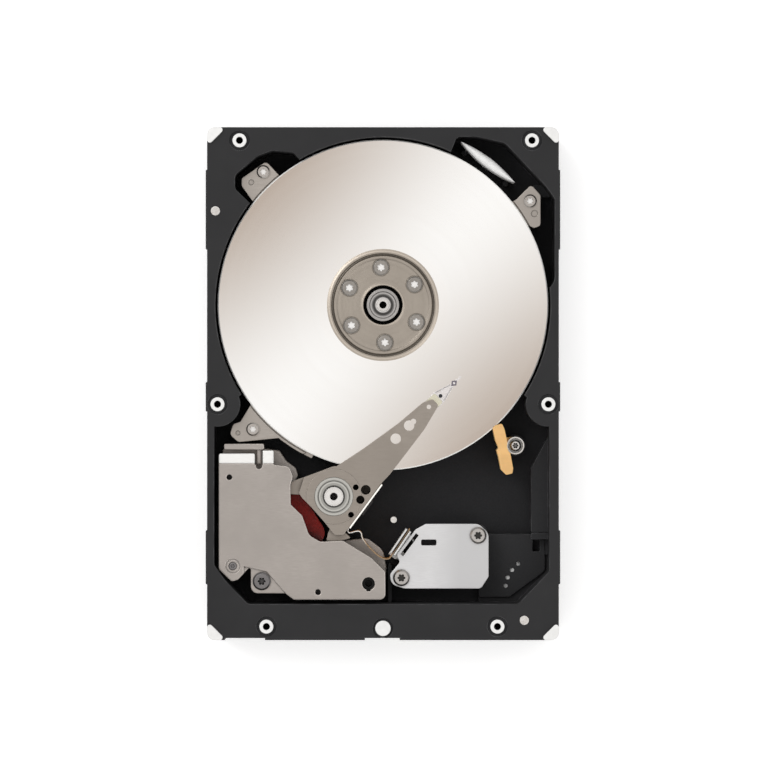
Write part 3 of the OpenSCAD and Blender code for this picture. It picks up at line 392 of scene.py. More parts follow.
def moulded(name, colour, roughness=0.45, edge_highlight_gain=1.3, subsurface=0.0):
    """Injection-moulded plastic: a fine spark-eroded grain, slight flow marks and a painted highlight on
    its edges.
    """
    s = Surface(name, specular=0.45)
    edge = s.edges(0.15 * MM, 0.05, 0.35)
    flow = s.noise(140, 3, s.mapped(0.5, (1, 2.4, 1)))
    tone = s.mix(s.fit(flow, 0.3, 0.7), shade(colour, 0.9), shade(colour, 1.08))
    # Painted highlight: the edges are painted brighter.
    s.colour(s.mix(s.maths("MULTIPLY", edge, 0.6), tone, shade(colour, edge_highlight_gain + 0.2)))
    grain = s.noise(3200, 3)
    s.rough(s.fit(grain, 0.3, 0.7, roughness - 0.07, roughness + 0.1))
    if subsurface:
        s.shader.inputs["Subsurface Weight"].default_value = subsurface
        s.shader.inputs["Subsurface Radius"].default_value = (0.6 * MM, 0.35 * MM, 0.15 * MM)
        s.shader.inputs["Subsurface Scale"].default_value = 1.0
    s.bump(grain, 0.16, 0.02 * MM)
    return s.done()


def felt(name, colour):
    """Pressed fibres crossing each way."""
    s = Surface(name, roughness=0.95, specular=0.15)
    s.shader.inputs["Sheen Weight"].default_value = 0.35
    s.shader.inputs["Sheen Roughness"].default_value = 0.5
    fibres = [s.noise(500, 3, s.mapped(turn, (1, 16, 5)), 0.7) for turn in (0.3, 1.25, 2.2, 2.9)]
    pile = fibres[0]
    for other in fibres[1:]:
        pile = s.maths("MAXIMUM", pile, other)
    tone = s.mix(s.fit(pile, 0.5, 0.75), shade(colour, 0.72), colour)
    s.colour(s.mix(s.fit(s.noise(120, 3), 0.4, 0.75, 0.0, 0.4), tone, shade(colour, 0.86)))
    s.bump(pile, 0.7, 0.12 * MM)
    return s.done()


def flex_film(name="flex_film", low=10.4, high=19.4, amber_from=-7):
    """Amber polyimide film between two heights over parallel copper tracks, which run along its length;
    its cut edge is pale as far as the x amber_from, and amber further on. All in mm."""
    s = Surface(name, specular=0.55, coat=0.3, coat_roughness=0.2)
    height = s.split(s.place)[2]
    pitch = 2 * math.pi / (0.62 * MM)
    tracks = s.fit(s.maths("SINE", s.maths("MULTIPLY", height, pitch)), -0.25, 0.1)
    inner = s.maths("MULTIPLY", s.fit(height, (low + 0.5) * MM, (low + 0.55) * MM),
                    s.fit(height, (high - 0.55) * MM, (high - 0.5) * MM, 1.0, 0.0))
    film = s.mix(s.noise(300, 3), (0.5, 0.25, 0.06), (0.625, 0.3125, 0.075))
    tone = s.mix(s.maths("MULTIPLY", tracks, inner), film, (0.86, 0.5, 0.2))
    cut = s.fit(height, (high - 0.12) * MM, (high - 0.06) * MM)
    amber = s.fit(s.split(s.place)[0], amber_from * MM, (amber_from + 2.5) * MM)
    s.colour(s.mix(cut, tone, s.mix(amber, (0.93, 0.91, 0.86), (0.3, 0.2, 0.11))))
    s.rough(s.fit(s.noise(1200, 2), 0.3, 0.7, 0.26, 0.4))
    s.bump(s.maths("MULTIPLY", tracks, inner), 0.3, 0.02 * MM)
    return s.done()


def gold_plate():
    """Gold over the contacts, with a painted highlight on its edges."""
    s = Surface("gold_plate", metallic=1.0)
    edge = s.edges(0.06 * MM)
    tone = s.mix(s.noise(1500, 3), (0.78, 0.5, 0.17), (0.95, 0.68, 0.3))
    # Painted highlight: the edges are painted paler gold.
    s.colour(s.mix(s.maths("MULTIPLY", edge, 0.5), tone, (1.0, 0.85, 0.55)))
    s.rough(s.fit(s.noise(2500, 2), 0.3, 0.7, 0.2, 0.34))
    s.bump(s.noise(3000, 2), 0.1, 0.01 * MM)
    return s.done()


def chip_epoxy():
    """Black moulding compound with a matt, gritty face."""
    s = Surface("chip_epoxy", specular=0.4)
    edge = s.edges(0.1 * MM)
    grain = s.noise(4200, 3)
    tone = s.mix(grain, (0.018, 0.018, 0.02), (0.035, 0.035, 0.038))
    # Painted highlight: the edges are painted grey.
    s.colour(s.mix(s.maths("MULTIPLY", edge, 0.4), tone, (0.1, 0.1, 0.1)))
    s.rough(s.fit(grain, 0.3, 0.7, 0.5, 0.68))
    s.bump(grain, 0.3, 0.02 * MM)
    return s.done()


def small_parts():
    """Ceramic bodies with tinned spots."""
    s = Surface("small_parts", specular=0.5)
    grain = s.noise(1800, 3)
    ends = s.fit(s.cells(900), 0.2, 0.5)
    s.colour(s.mix(ends, s.mix(grain, (0.32, 0.22, 0.13), (0.5, 0.38, 0.24)), (0.6, 0.6, 0.6)))
    s.rough(s.fit(grain, 0.3, 0.7, 0.32, 0.5))
    s.metal(s.maths("MULTIPLY", ends, 0.6))
    s.bump(grain, 0.15, 0.02 * MM)
    return s.done()


def soft_black(name, colour=(0.022, 0.022, 0.024), open_cells=False):
    """Rubber with a dull skin, or foam with open cells."""
    s = Surface(name, specular=0.3)
    grain = s.cells(1800) if open_cells else s.noise(2600, 3)
    s.colour(s.mix(grain, shade(colour, 0.7), shade(colour, 1.5)))
    s.rough(s.fit(grain, 0.2, 0.8, 0.72, 0.92))
    s.bump(grain, 0.6 if open_cells else 0.2, 0.08 * MM)
    return s.done()


def solder_mask():
    """Green solder mask over copper: tracks as raised paler lines, poured areas, plated vias, and the bare
    glass fibre of the board's edges."""
    s = Surface("solder_mask", specular=0.55, coat=0.4, coat_roughness=0.16)
    x, y = s.split(s.place)[:2]
    flat = s.vector("MULTIPLY", s.place, (1, 1, 0))
    spots = s.cells(165, s.mapped(0.0, (1, 0.62, 0)))

    def tracks(along, scale):
        """Parallel lines a track's pitch apart, which jog where a noise changes."""
        jog = s.maths("MULTIPLY", s.fit(s.noise(scale, 0, flat), 0.46, 0.5), 40.0)
        wave = s.maths("ADD", s.maths("MULTIPLY", along, 2 * math.pi / (1.05 * MM)), jog)
        return s.fit(s.maths("SINE", wave), 0.35, 0.5)

    region = s.fit(s.noise(48, 1, flat), 0.5, 0.505)
    lines = s.maths("ADD", s.maths("MULTIPLY", tracks(x, 60), region),
                    s.maths("MULTIPLY", tracks(y, 75), s.maths("SUBTRACT", 1.0, region)))
    poured = s.fit(s.noise(85, 1, flat), 0.56, 0.565)
    copper = s.maths("MAXIMUM", lines, poured)
    via = s.fit(s.cells(330, flat), 0.13, 0.15, 1.0, 0.0)
    green = s.mix(s.noise(400, 3), (0.006, 0.045, 0.026), (0.01, 0.065, 0.036))
    tone = s.mix(copper, green, (0.02, 0.125, 0.062))
    tone = s.mix(s.fit(spots, 0.0, 0.04, 0.25, 0.0), tone, (0.004, 0.03, 0.018))
    tone = s.mix(via, tone, (0.72, 0.66, 0.5))
    normal = s.split(s.node("ShaderNodeNewGeometry").outputs["Normal"])[2]
    side = s.fit(s.maths("ABSOLUTE", normal), 0.3, 0.5, 1.0, 0.0)
    s.colour(s.mix(side, tone, s.mix(s.noise(900, 2), (0.3, 0.26, 0.12), (0.42, 0.38, 0.2))))
    s.rough(s.fit(s.noise(1500, 2), 0.3, 0.7, 0.3, 0.42))
    s.metal(s.maths("MULTIPLY", via, 0.8))
    s.bump(copper, 0.5, 0.035 * MM)
    return s.done()


def lapped_ceramic():
    """The sliders' dark ceramic, ground smooth, with a painted highlight on its edges."""
    s = Surface("lapped_ceramic", specular=0.6)
    edge = s.edges(0.03 * MM)
    tone = s.mix(s.noise(3000, 2), (0.05, 0.05, 0.055), (0.09, 0.09, 0.095))
    # Painted highlight: the edges are painted bright.
    s.colour(s.mix(s.maths("MULTIPLY", edge, 0.5), tone, (0.4, 0.4, 0.4)))
    s.rough(s.fit(s.noise(2600, 2), 0.3, 0.7, 0.18, 0.32))
    s.bump(s.noise(4000, 2), 0.1, 0.01 * MM)
    return s.done()


def dull_magnet():
    """Sintered block under a dull dark nickel skin."""
    return rolled_metal("sparkling_magnet", (0.05, 0.05, 0.052), 0.42, streak=(1, 1, 1), edge_highlight_gain=2.5)


def ground_strip_highlight(s):
    """The strip of the top yoke by its flange, ground and set a little lower, where a painted white
    highlight goes.
    """
    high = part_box("vcm_top_plate")[1]
    place = s.split(s.place)
    strip = s.fit(place[1], high.y - 3.72 * MM, high.y - 3.68 * MM)
    return s.maths("MULTIPLY", strip, s.fit(place[2], high.z - 0.6 * MM, high.z - 0.5 * MM))


# ---- The finishes of the carried-over solids ----

def paint(names, mat):
    for name in names:
        mesh = nodes[name].data
        mesh.materials.clear()
        mesh.materials.append(mat)


def finish_solids():
    """Gives every carried-over node its material. A socket's floor lies below the height given for it, and
    its colour
    there is painted light: pale as a highlight, dark as shade.
    """
    steel = bright_steel()
    # Painted shade: the bracket screws' socket floors are painted dark.
    satin = bright_steel("satin_steel", (0.5, 0.48, 0.46), 0.34,
                         socket=(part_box("bracket_screws")[1].z - 0.7 * MM, (0.05, 0.048, 0.046)))
    board_steel = bright_steel("board_screw_steel", (0.55, 0.54, 0.52), 0.32)
    # Painted shade: the tab screws' socket floors are painted black.
    tab_screw = bright_steel("dark_steel", (0.2, 0.19, 0.19), 0.36, glint=0.9,
                             socket=(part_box("vcm_screws")[1].z - 1.1 * MM, (0.02, 0.02, 0.02)))
    # Painted highlight: the clamp screws' socket floors are painted white, as a glint.
    clamp_screw = bright_steel("clamp_screw_steel", (0.34, 0.32, 0.295), 0.3, glint=0.5,
                               socket=(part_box("clamp_screws")[1].z - 0.6 * MM, (0.95, 0.95, 0.94)))
    # Painted highlight: the damper screws' socket floors are painted near white.
    damper_screw = bright_steel("damper_screw_steel", (0.46, 0.43, 0.4), 0.32,
                                socket=(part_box("damper_screws")[1].z - 0.6 * MM, (0.85, 0.84, 0.82)))
    plate = rolled_metal("nickel_plate", (0.428, 0.394, 0.366), 0.36, edge_highlight_gain=2.3, edge_width=0.5 * MM,
                         strip_highlight=ground_strip_highlight)
    damper = rolled_metal("damper_metal", (0.42, 0.385, 0.35), 0.38, edge_highlight_gain=1.8)
    arm = rolled_metal("arm_metal", (0.34, 0.303, 0.266), 0.38, turn=ARM_ANGLE, edge_highlight_gain=1.8,
                       edge_width=0.22 * MM, hole_reach=2.5 * MM)
    bracket = rolled_metal("bracket_metal", (0.72, 0.72, 0.726), 0.42, turn=0.9, edge_highlight_gain=1.45,
                           fade=(14 * MM, 22 * MM, 0.82))
    black = moulded("black_plastic", (0.02, 0.02, 0.022), 0.42, edge_highlight_gain=3.0)
    paint(["base_casting"], coated_casting())
    paint(["cover_dowel_pins", "locating_pin", "motor_shaft", "ramp_screw",
           "pivot_inner_races", "pivot_outer_races", "pivot_balls"], steel)
    # Painted highlight and shade: bright and dark rings on the bearing sleeve.
    paint(["bearing_sleeve"],
          turned_metal("turned_bearing", (0.22, 0.215, 0.21), SPINDLE, 0.3, ring=0.5 * MM,
                       light_and_shade_rings=[(1.75, 2.1, 3.2), (2.45, 2.9, 0.35), (3.3, 3.6, 2.2)]))
    paint(["clamp_screws"], clamp_screw)
    paint(["damper_screws"], damper_screw)
    paint(["bracket_screws"], satin)
    paint(["board_screws"], board_steel)
    # Painted shade: the crash stop pins and the standoffs, which sit at the bottoms of holes, are painted
    # near black.
    paint(["crash_stop_pins", "vcm_standoffs"],
          bright_steel("shade_black_steel", (0.02, 0.02, 0.02), 0.36, glint=0.3))
    paint(["vcm_screws"], tab_screw)
    paint(["stator_core"], rolled_metal("laminations", (0.3, 0.3, 0.31), 0.45, streak=(1, 1, 40)))
    paint(["stator_coils", "voice_coil"], wound_copper())
    paint(["motor_contacts"], flex_film("motor_film", low=-40, high=60))
    paint(["arm_flex"], flex_film("arm_film", low=9.6, high=21.9, amber_from=60))
    paint(["damper_plates"], damper)
    paint(["load_ramp"], moulded("ramp_acetal", (0.69, 0.42, 0.165), 0.4, edge_highlight_gain=1.15, subsurface=0.25))
    paint(["vcm_bottom_plate", "vcm_top_plate"], plate)
    paint(["vcm_bottom_magnet", "vcm_top_magnet"], dull_magnet())
    paint(["crash_stop_sleeves", "connector_seal"], soft_black("soft_rubber"))
    paint(["board_foam_pad"], soft_black("open_foam", (0.05, 0.05, 0.055), open_cells=True))
    paint(["pivot_shaft"], turned_metal("turned_shaft", (0.82, 0.81, 0.79), PIVOT, 0.26, ring=0.3 * MM))
    # Painted highlight and shade: bright and dark rings on the pivot sleeve.
    paint(["pivot_sleeve"],
          turned_metal("turned_sleeve", (0.4, 0.395, 0.37), PIVOT, 0.34, ring=0.3 * MM,
                       light_and_shade_rings=[(2.85, 3.2, 0.3), (3.9, 4.2, 1.35), (4.4, 4.6, 0.5), (4.9, 5.3, 1.3)]))
    paint(["flex_bracket"], bracket)
    paint(["flex_clamp"], rolled_metal("clamp_sheet", (0.7, 0.7, 0.69), 0.4, turn=0.97, edge_highlight_gain=1.35))
    paint(["head_connector", "sata_connector", "jumper_block", "rotor_magnet"], black)
    paint(["sata_contacts"], gold_plate())
    paint(["circuit_board"], solder_mask())
    paint(["controller_chip", "memory_chip", "motor_driver_chip", "preamp_chip"], chip_epoxy())
    paint(["board_small_parts"], small_parts())
    # Painted shade: the hub's groove is painted black.
    paint(["spindle_hub"], turned_metal("turned_hub", (0.4, 0.385, 0.37), SPINDLE, 0.32, groove_shade=(4.68, 5.6)))
    # Painted highlight and shade: bright and dark rings on the clamp's steps.
    paint(["disk_clamp"],
          turned_metal("turned_clamp", (0.382, 0.34, 0.292), SPINDLE, 0.4, ring=0.4 * MM, depth=0.6,
                       light_and_shade_rings=[(5.6, 6.3, 1.3), (14.25, 14.55, 0.35), (15.3, 16.2, 1.5)]))
    paint(["platter_spacers"], turned_metal("turned_spacers", (0.78, 0.77, 0.75), SPINDLE, 0.3))
    paint([f"platter_{i + 1}" for i in range(PLATTERS)], polished_disk())
    paint(["arm_block"], arm)
    paint(["coil_frame"],
          rolled_metal("coil_resin", (0.3, 0.265, 0.225), 0.5, streak=(1, 2, 2), metallic=0.35))
    paint(["head_suspensions"], bright_steel("spring_steel", (0.86, 0.85, 0.84), 0.2))
    paint(["head_sliders"], lapped_ceramic())


# ---- Mesh helpers ----

def mesh_piece(name, made, mats, smooth=True):
    """A new object from a bmesh, whose vertices are already in the row frame."""
    bmesh.ops.recalc_face_normals(made, faces=made.faces)
    mesh = bpy.data.meshes.new(name)
    made.to_mesh(mesh)
    made.free()
    for mat in mats:
        mesh.materials.append(mat)
    mesh.polygons.foreach_set("use_smooth", [smooth] * len(mesh.polygons))
    piece = bpy.data.objects.new(name, mesh)
    bpy.context.scene.collection.objects.link(piece)
    return piece


def rings_to_faces(made, rows, closed_ring, closed_path):
    """Joins rows of vertices into quads."""
    count = len(rows)
    for i in range(count if closed_path else count - 1):
        a, b = rows[i], rows[(i + 1) % count]
        n = len(a)
        for j in range(n if closed_ring else n - 1):
            made.faces.new((a[j], a[(j + 1) % n], b[(j + 1) % n], b[j]))


def smooth_route(points, steps):
    """A Catmull-Rom line through the points."""
    out = []
    for i in range(len(points) - 1):
        p0, p1 = points[max(i - 1, 0)], points[i]
        p2, p3 = points[i + 1], points[min(i + 2, len(points) - 1)]
        for k in range(steps):
            t = k / steps
            out.append(0.5 * (2 * p1 + (p2 - p0) * t + (2 * p0 - 5 * p1 + 4 * p2 - p3) * t * t
                              + (3 * p1 - p0 - 3 * p2 + p3) * t * t * t))
    return out + [points[-1]]


# ---- The flex that joins the arm block to the bracket ----

# Its centre line as in the CAD, in mm: from the arm block round its loop to the bracket's clamp
HAIRPIN = [(-9.5 + 0.6 * math.cos(math.radians(a)), -42.3 + 0.6 * math.sin(math.radians(a)))
           for a in range(150, 281, 26)]
FLEX_ROUTE = ([(-9.8, -41.6), (-10, -41.9)] + HAIRPIN
              + [(-8.3, -42.6), (-7.3, -42.4), (-6.6, -42.6), (-6.2, -43.2), (-6, -44.2), (-5.4, -45.3),
                 (-3.6, -47.5), (-1.4, -49.5), (0.4, -50.4), (1.6, -50.4), (2.1, -50)]
              + [(2.3 + t * 0.54, -49.8 + t * 0.8) for t in range(1, 11)])


def flex_ribbon():
    """A thin ribbon on edge with softened edges."""
    points = [Vector((x * MM, y * MM, 0)) for x, y in FLEX_ROUTE]
    line = smooth_route(points, 4)
    low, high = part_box("flex_cable")[0].z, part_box("flex_cable")[1].z
    half = 0.13 * MM
    round_off = 0.05 * MM
    section = [(-half, low + round_off), (-half * 0.5, low), (half * 0.5, low), (half, low + round_off),
               (half, (low + high) / 2), (half, high - round_off), (half * 0.5, high), (-half * 0.5, high),
               (-half, high - round_off), (-half, (low + high) / 2)]
    made = bmesh.new()
    rows = []
    for i, p in enumerate(line):
        along = (line[min(i + 1, len(line) - 1)] - line[max(i - 1, 0)]).normalized()
        side = Vector((-along.y, along.x, 0))
        rows.append([made.verts.new((p.x + side.x * s, p.y + side.y * s, z)) for s, z in section])
    rings_to_faces(made, rows, True, False)
    made.faces.new(rows[0])
    made.faces.new(list(reversed(rows[-1])))
    piece = mesh_piece("flex_ribbon", made, [flex_film()], smooth=False)
    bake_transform(piece)
    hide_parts("flex_cable")


# ---- The voice coil as its turns of wire ----

def rounded_loop(corners, steps=6):
    """Points round a closed outline whose corners (x, y, radius) are arcs."""
    out = []
    n = len(corners)
    for i in range(n):
        a, b, c = (Vector(corners[k % n][:2]) for k in (i - 1, i, i + 1))
        r = corners[i][2]
        u, v = (a - b).normalized(), (c - b).normalized()
        half = math.acos(max(-1, min(1, u.dot(v)))) / 2
        centre = b + (u + v).normalized() * r / math.sin(half)
        start = b + u * r / math.tan(half) - centre
        end = b + v * r / math.tan(half) - centre
        a0 = math.atan2(start.y, start.x)
        turn = (math.atan2(end.y, end.x) - a0 + 3 * math.pi) % (2 * math.pi) - math.pi
        out += [centre + r * Vector((math.cos(a0 + turn * k / steps), math.sin(a0 + turn * k / steps)))
                for k in range(steps + 1)]
    return out


def coil_corners(inset):
    radius = max(COIL_CORNER - inset, 0.3)
    return [(-7.4 - inset, -9.2 + inset, radius), (-25.4 + inset, -9.3 + inset, radius),
            (-25.4 + inset, 9.3 - inset, radius), (-7.4 - inset, 9.2 - inset, radius)]


def wound_coil():
    """Closed turns of six-sided wire; those that none of the coil's faces shows are left out."""
    low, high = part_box("voice_coil")[0].z / MM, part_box("voice_coil")[1].z / MM
    layers, turns, wire_sides = 15, 17, 6
    wire = (high - low) / layers
    made = bmesh.new()
    for layer in range(layers):
        for turn in range(turns):
            if 0 < layer < layers - 1 and 0 < turn < turns - 1:
                continue
            inset = wire * 0.5 + turn * (COIL_WALL - wire) / (turns - 1)
            z = low + wire * (layer + 0.5)
            loop = rounded_loop(coil_corners(inset))
            rows = []
            for i, p in enumerate(loop):
                along = (loop[(i + 1) % len(loop)] - loop[i - 1]).normalized()
                side = Vector((-along.y, along.x))
                ring = []
                for k in range(wire_sides):
                    angle = 2 * math.pi * (k + 0.5) / wire_sides
                    q = p + side * (wire * 0.5 * math.cos(angle))
                    ring.append(made.verts.new(on_coil(q.x, q.y, z + wire * 0.5 * math.sin(angle))))
                rows.append(ring)
            rings_to_faces(made, rows, True, True)
    piece = mesh_piece("voice_coil_winding", made, [wound_copper()])
    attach(piece, "actuator")
    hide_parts("voice_coil")


# ---- Filters ----

def filter_pouch():
    """The recirculation filter: a felt pouch, lens-shaped from above, sealed along its ends and hems."""
    low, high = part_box("recirculation_filter")
    centre = (low + high) / 2
    turn = math.radians(-37.2)
    along = Vector((math.cos(turn), math.sin(turn)))
    across = Vector((-math.sin(turn), math.cos(turn)))
    half_length, half_width = 9.7 * MM, 1.36 * MM
    # Both faces are arcs of this radius, whose centres lie the offset away on the far side
    radius, offset = 35.2 * MM, 33.84 * MM
    hem = 0.05 * MM
    height = high.z - low.z - 2 * hem
    levels, steps = 26, 40
    made = bmesh.new()
    rows = []
    for k in range(levels + 1):
        t = k / levels
        swell = (1 - abs(2 * t - 1) ** 7) ** 0.5
        row = []
        for side in (1, -1):
            for j in range(steps):
                s = -1 + 2 * j / steps
                x = half_length * s * side
                lens = max(0.0, math.sqrt(radius ** 2 - x ** 2) - offset)
                pucker = 1 + 0.03 * math.sin(9 * s + 2.1 * t * 5) * (1 - abs(s))
                y = side * -1 * min(lens, half_width) * (0.14 + 0.86 * swell) * pucker
                p = Vector((centre.x, centre.y)) + along * x + across * y
                row.append(made.verts.new((p.x, p.y, low.z + hem + height * t)))
        rows.append(row)
    rings_to_faces(made, rows, True, False)
    made.faces.new(rows[0])
    made.faces.new(list(reversed(rows[-1])))
    piece = mesh_piece("filter_pouch", made, [felt("white_felt", (0.93, 0.93, 0.92))])
    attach(piece, "base")
    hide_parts("recirculation_filter")


def breather_patch():
    """The breather filter under the floor: a flat felt pad with softened, slightly crowned faces."""
    low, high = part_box("breather_filter")
    centre, size = (low + high) / 2, high - low
    made = bmesh.new()
    n = 14
    sheets = []
    for side in (-1, 1):
        grid = []
        for i in range(n + 1):
            row = []
            for j in range(n + 1):
                u, v = 2 * i / n - 1, 2 * j / n - 1
                crown = (1 - abs(u) ** 6) * (1 - abs(v) ** 6)
                shrink = 1 - 0.06 * (abs(u) * abs(v)) ** 3
                row.append(made.verts.new((centre.x + u * shrink * size.x / 2,
                                           centre.y + v * shrink * size.y / 2,
                                           centre.z + side * size.z * (0.4 + 0.09 * crown))))
            grid.append(row)
        rings_to_faces(made, grid, False, False)
        sheets.append(grid)
    rim = [[g[i][0] for i in range(n)] + [g[n][j] for j in range(n)] + [g[n - i][n] for i in range(n)]
           + [g[0][n - j] for j in range(n)] for g in sheets]
    rings_to_faces(made, rim, True, False)
    piece = mesh_piece("breather_patch", made, [felt("grey_felt", (0.95, 0.95, 0.94))])
    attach(piece, "base")
    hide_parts("breather_filter")


# ---- Head suspensions ----

def circle(x, y, r):
    """Points round a circle, which is cut as a hole or a pad out of thin sheet."""
    return [(x + r * math.cos(2 * math.pi * k / 20), y + r * math.sin(2 * math.pi * k / 20))
            for k in range(20)]


def sheet_outline(made, outline, z0, z1, holes=(), slot=0):
    """A thin plate of the arm's frame between two heights, with round holes, by a triangulated fill."""
    part = bmesh.new()
    edges = []
    for points in [outline] + [circle(*hole) for hole in holes]:
        v = [part.verts.new(on_arm(x, y, z0)) for x, y in points]
        edges += [part.edges.new((v[i], v[(i + 1) % len(v)])) for i in range(len(v))]
    bmesh.ops.triangle_fill(part, use_beauty=True, use_dissolve=True, edges=edges)
    grown = bmesh.ops.extrude_face_region(part, geom=part.faces[:])
    for v in grown["geom"]:
        if isinstance(v, bmesh.types.BMVert):
            v.co.z = z1 * MM
    for f in part.faces:
        f.material_index = slot
    bmesh.ops.recalc_face_normals(part, faces=part.faces)
    mesh = bpy.data.meshes.new("part")
    part.to_mesh(mesh)
    part.free()
    made.from_mesh(mesh)
    bpy.data.meshes.remove(mesh)


def one_suspension(made, face, side):
    """Base plate, load beam with its lift tab, folded rails, flexure ring and damping pad of one head. face
    is the height of the arm's surface, and side is the way that its head lies from there."""
    def z(a, b):
        """The lower and the higher of two distances from the arm's surface, as heights."""
        return sorted((face + side * a, face + side * b))

    plate = [(34.8, -1.8), (41.0, -1.8), (41.4, -1.4), (41.4, 1.4), (41.0, 1.8), (34.8, 1.8)]
    sheet_outline(made, plate, *z(0.005, 0.06), holes=[(37.5, 0, 0.65)], slot=1)
    half_beam = [(36.2, -1.3), (40.2, -2.0), (41.6, -1.95), (46.0, -0.62), (48.0, -0.32), (50.1, -0.28),
                 (50.3, -0.1)]
    beam = half_beam + [(x, -y) for x, y in reversed(half_beam)]
    sheet_outline(made, beam, *z(0.06, 0.11), holes=[(37.5, 0, 0.65), (42.05, 0, 0.48)], slot=0)
    for way in (-1, 1):
        a, b = (41.7, way * 1.9), (46.3, way * 0.6)
        rail = [(a[0], a[1]), (b[0], b[1]), (b[0], b[1] - way * 0.1), (a[0], a[1] - way * 0.1)]
        sheet_outline(made, rail, *z(-0.22, 0.1), slot=0)
    ring = [(46.3, 0), (47.45, -0.95), (48.5, 0), (47.45, 0.95)]
    sheet_outline(made, ring, *z(0.01, 0.055), holes=[(47.45, 0, 0.36)], slot=2)
    pad = [(42.1 + 0.55 * math.cos(math.radians(a)), 0.55 * math.sin(math.radians(a)))
           for a in range(0, 360, 20)]
    sheet_outline(made, pad, *z(0.02, 0.058), slot=3)


def suspensions():
    made = bmesh.new()
    for arm, side in HEADS:
        one_suspension(made, LOWEST_ARM + arm * ARM_PITCH + side * ARM_T / 2, side)
    # In the order of the slots above: load beam and rails, base plate, flexure ring, damping pad
    mats = [bright_steel("spring_steel_bright", (0.93, 0.92, 0.93), 0.2),
            bright_steel("spring_steel_warm", (0.74, 0.72, 0.58), 0.28),
            bright_steel("flexure_steel", (0.2, 0.18, 0.21), 0.35), soft_black("damping_pad")]
    piece = mesh_piece("suspension_set", made, mats, smooth=False)
    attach(piece, "actuator")
    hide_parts("head_suspensions")


# ---- Stage ----

CAMERA_HEIGHT = 1.4
SENSOR = 36
# Width that the picture takes in at the height of the rim
FRAME_WIDTH = 0.22006
FLOOR_REACH = 3.0
FLOOR_Z = -0.2 * MM
# The sky's darkest tones: of the cards overhead, and of the belt halfway up
CARD_TONE = (0.19, 0.08, 0.0)
BELT_TONE = (0.3, 0.272, 0.25)
SKY_STRENGTH = 1.09


def stage():
    """A plain pale floor whose underside is clear, so that it never hides the drive from below."""
    made = bmesh.new()
    made.faces.new([made.verts.new((x * FLOOR_REACH, y * FLOOR_REACH, FLOOR_Z))
                    for x, y in ((-1, -1), (1, -1), (1, 1), (-1, 1))])
    mesh = bpy.data.meshes.new("floor")
    made.to_mesh(mesh)
    made.free()
    floor = bpy.data.objects.new("floor", mesh)
    bpy.context.scene.collection.objects.link(floor)
    mat = bpy.data.materials.new("pale_floor")
    mat.use_nodes = True
    tree = mat.node_tree
    shader = tree.nodes["Principled BSDF"]
    shader.inputs["Base Color"].default_value = (0.93, 0.93, 0.93, 1)
    shader.inputs["Roughness"].default_value = 0.9
    shader.inputs["Emission Color"].default_value = (1, 1, 1, 1)
    shader.inputs["Emission Strength"].default_value = 0.3
    clear = tree.nodes.new("ShaderNodeBsdfTransparent")
    behind = tree.nodes.new("ShaderNodeNewGeometry")
    either = tree.nodes.new("ShaderNodeMixShader")
    tree.links.new(behind.outputs["Backfacing"], either.inputs[0])
    tree.links.new(shader.outputs[0], either.inputs[1])
    tree.links.new(clear.outputs[0], either.inputs[2])
    tree.links.new(either.outputs[0], tree.nodes["Material Output"].inputs["Surface"])
    mesh.materials.append(mat)


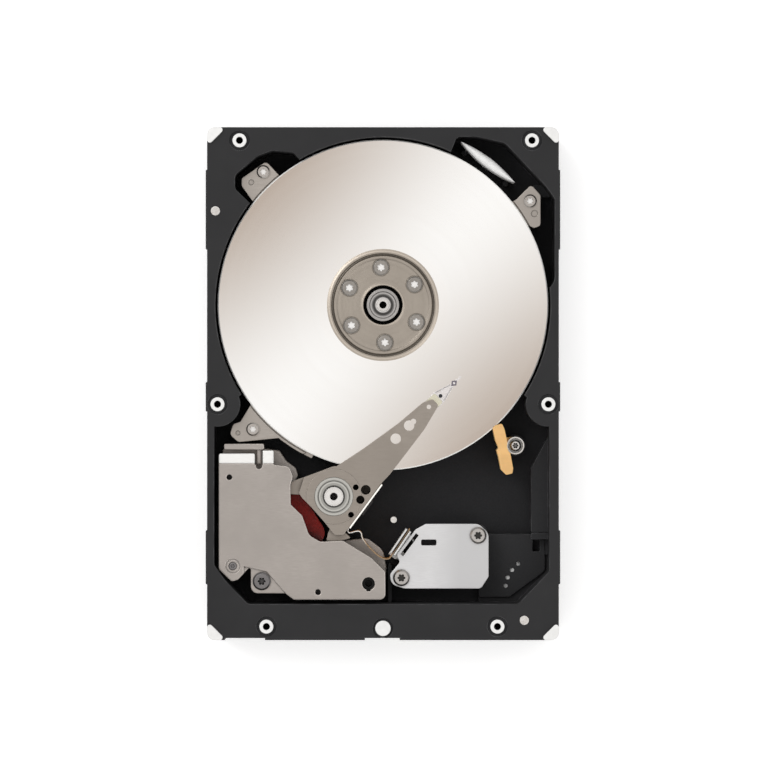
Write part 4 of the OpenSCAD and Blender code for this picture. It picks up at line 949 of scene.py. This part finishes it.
def soft_sky():
    """White surroundings with two soft darker cards on one diagonal over the disk, which its mirror picks
    up, and a greyer belt halfway up. Reflections alone see the cards go on down to the belt, so that the
    disk is never blank from a slant."""
    world = bpy.data.worlds.new("studio")
    bpy.context.scene.world = world
    world.use_nodes = True
    tree = world.node_tree

    def maths(operation, a, b=0.0):
        made = tree.nodes.new("ShaderNodeMath")
        made.operation = operation
        for socket, value in zip(made.inputs, (a, b)):
            if isinstance(value, bpy.types.NodeSocket):
                tree.links.new(value, socket)
            else:
                socket.default_value = value
        return made.outputs[0]

    def fade(value, low, high, to_low, to_high):
        made = tree.nodes.new("ShaderNodeMapRange")
        made.interpolation_type = "SMOOTHSTEP"
        tree.links.new(value, made.inputs["Value"])
        set_range(made, low, high, to_low, to_high)
        return made.outputs[0]

    def tinted(tone, share, colour):
        made = tree.nodes.new("ShaderNodeMix")
        made.data_type = "RGBA"
        tree.links.new(share, made.inputs[0])
        tree.links.new(tone, made.inputs[6])
        made.inputs[7].default_value = (*colour, 1)
        return made.outputs[2]

    axes = tree.nodes.new("ShaderNodeSeparateXYZ")
    tree.links.new(tree.nodes.new("ShaderNodeTexCoord").outputs["Generated"], axes.inputs[0])
    x, y, z = axes.outputs
    up = maths("MAXIMUM", z, 0.05)
    lift = CAMERA_HEIGHT - PLATTER_TOP
    # Slopes away from the direction in which the camera sees itself in the disk's middle
    u = maths("SUBTRACT", maths("DIVIDE", x, up), SPINDLE.x / lift)
    v = maths("SUBTRACT", maths("DIVIDE", y, up), SPINDLE.y / lift)
    away = maths("SQRT", maths("ADD", maths("ADD", maths("MULTIPLY", u, u), maths("MULTIPLY", v, v)), 1e-7))
    across = maths("DIVIDE", maths("SUBTRACT", u, v), away)
    lobe = maths("POWER", maths("MULTIPLY", maths("MULTIPLY", across, across), 0.5), 0.62)
    near = maths("MINIMUM", maths("MULTIPLY", away, 21.0), 0.78)
    dark = maths("MULTIPLY", maths("MULTIPLY", lobe, near), fade(away, 0.06, 0.3, 1.0, 0.0))
    dark = maths("MULTIPLY", dark, fade(z, 0.2, 0.6, 0.0, 1.0))
    mirrored = tree.nodes.new("ShaderNodeLightPath").outputs["Is Glossy Ray"]
    slant = maths("MULTIPLY", fade(away, 0.36, 0.6, 0.0, 1.0), fade(z, 0.3, 0.6, 0.0, 1.0))
    card = maths("ADD", maths("MULTIPLY", lobe, 0.42), 0.16)
    band = maths("MULTIPLY", fade(z, 0.12, 0.4, 0.0, 1.0), fade(z, 0.5, 0.85, 1.0, 0.0))
    sides = maths("ABSOLUTE", maths("MULTIPLY", x, y))
    grey = maths("ADD", maths("MULTIPLY", band, maths("ADD", 0.16, sides)),
                 maths("MULTIPLY", mirrored, maths("MULTIPLY", slant, card)))
    white = tree.nodes.new("ShaderNodeRGB").outputs[0]
    white.default_value = (1, 1, 1, 1)
    tone = tinted(white, dark, CARD_TONE)
    tone = tinted(tone, maths("MINIMUM", grey, 0.8), BELT_TONE)
    tree.links.new(tone, tree.nodes["Background"].inputs["Color"])
    tree.nodes["Background"].inputs["Strength"].default_value = SKY_STRENGTH


def soft_box(name, at, size, power):
    """A square lamp of size metres that faces the drive's middle."""
    light = bpy.data.lights.new(name, "AREA")
    light.shape = "SQUARE"
    light.size = size
    light.energy = power
    lamp = bpy.data.objects.new(name, light)
    lamp.location = at
    lamp.rotation_mode = "QUATERNION"
    lamp.rotation_quaternion = (Vector((0, 0, 20 * MM)) - Vector(at)).to_track_quat("-Z", "Y")
    bpy.context.scene.collection.objects.link(lamp)


def camera():
    """Looks straight down, as the picture does, a hair to the side of the drive's middle."""
    made = bpy.data.objects.new("camera", bpy.data.cameras.new("camera"))
    made.data.sensor_width = SENSOR
    made.data.lens = SENSOR * (CAMERA_HEIGHT - RIM_TOP) / FRAME_WIDTH
    made.data.clip_start, made.data.clip_end = 0.05, 20
    made.location = (0.3 * MM, -0.1 * MM, CAMERA_HEIGHT)
    made.rotation_euler = (0, 0, 0)
    bpy.context.scene.collection.objects.link(made)
    bpy.context.scene.camera = made


camera()
stage()
soft_sky()
soft_box("key_box", (-0.55, 0.45, 0.9), 0.5, 3.0)
soft_box("fill_box", (0.7, -0.5, 0.8), 0.7, 1.5)
bpy.context.scene.view_settings.view_transform = "Standard"

finish_solids()
flex_ribbon()
wound_coil()
filter_pouch()
breather_patch()
suspensions()
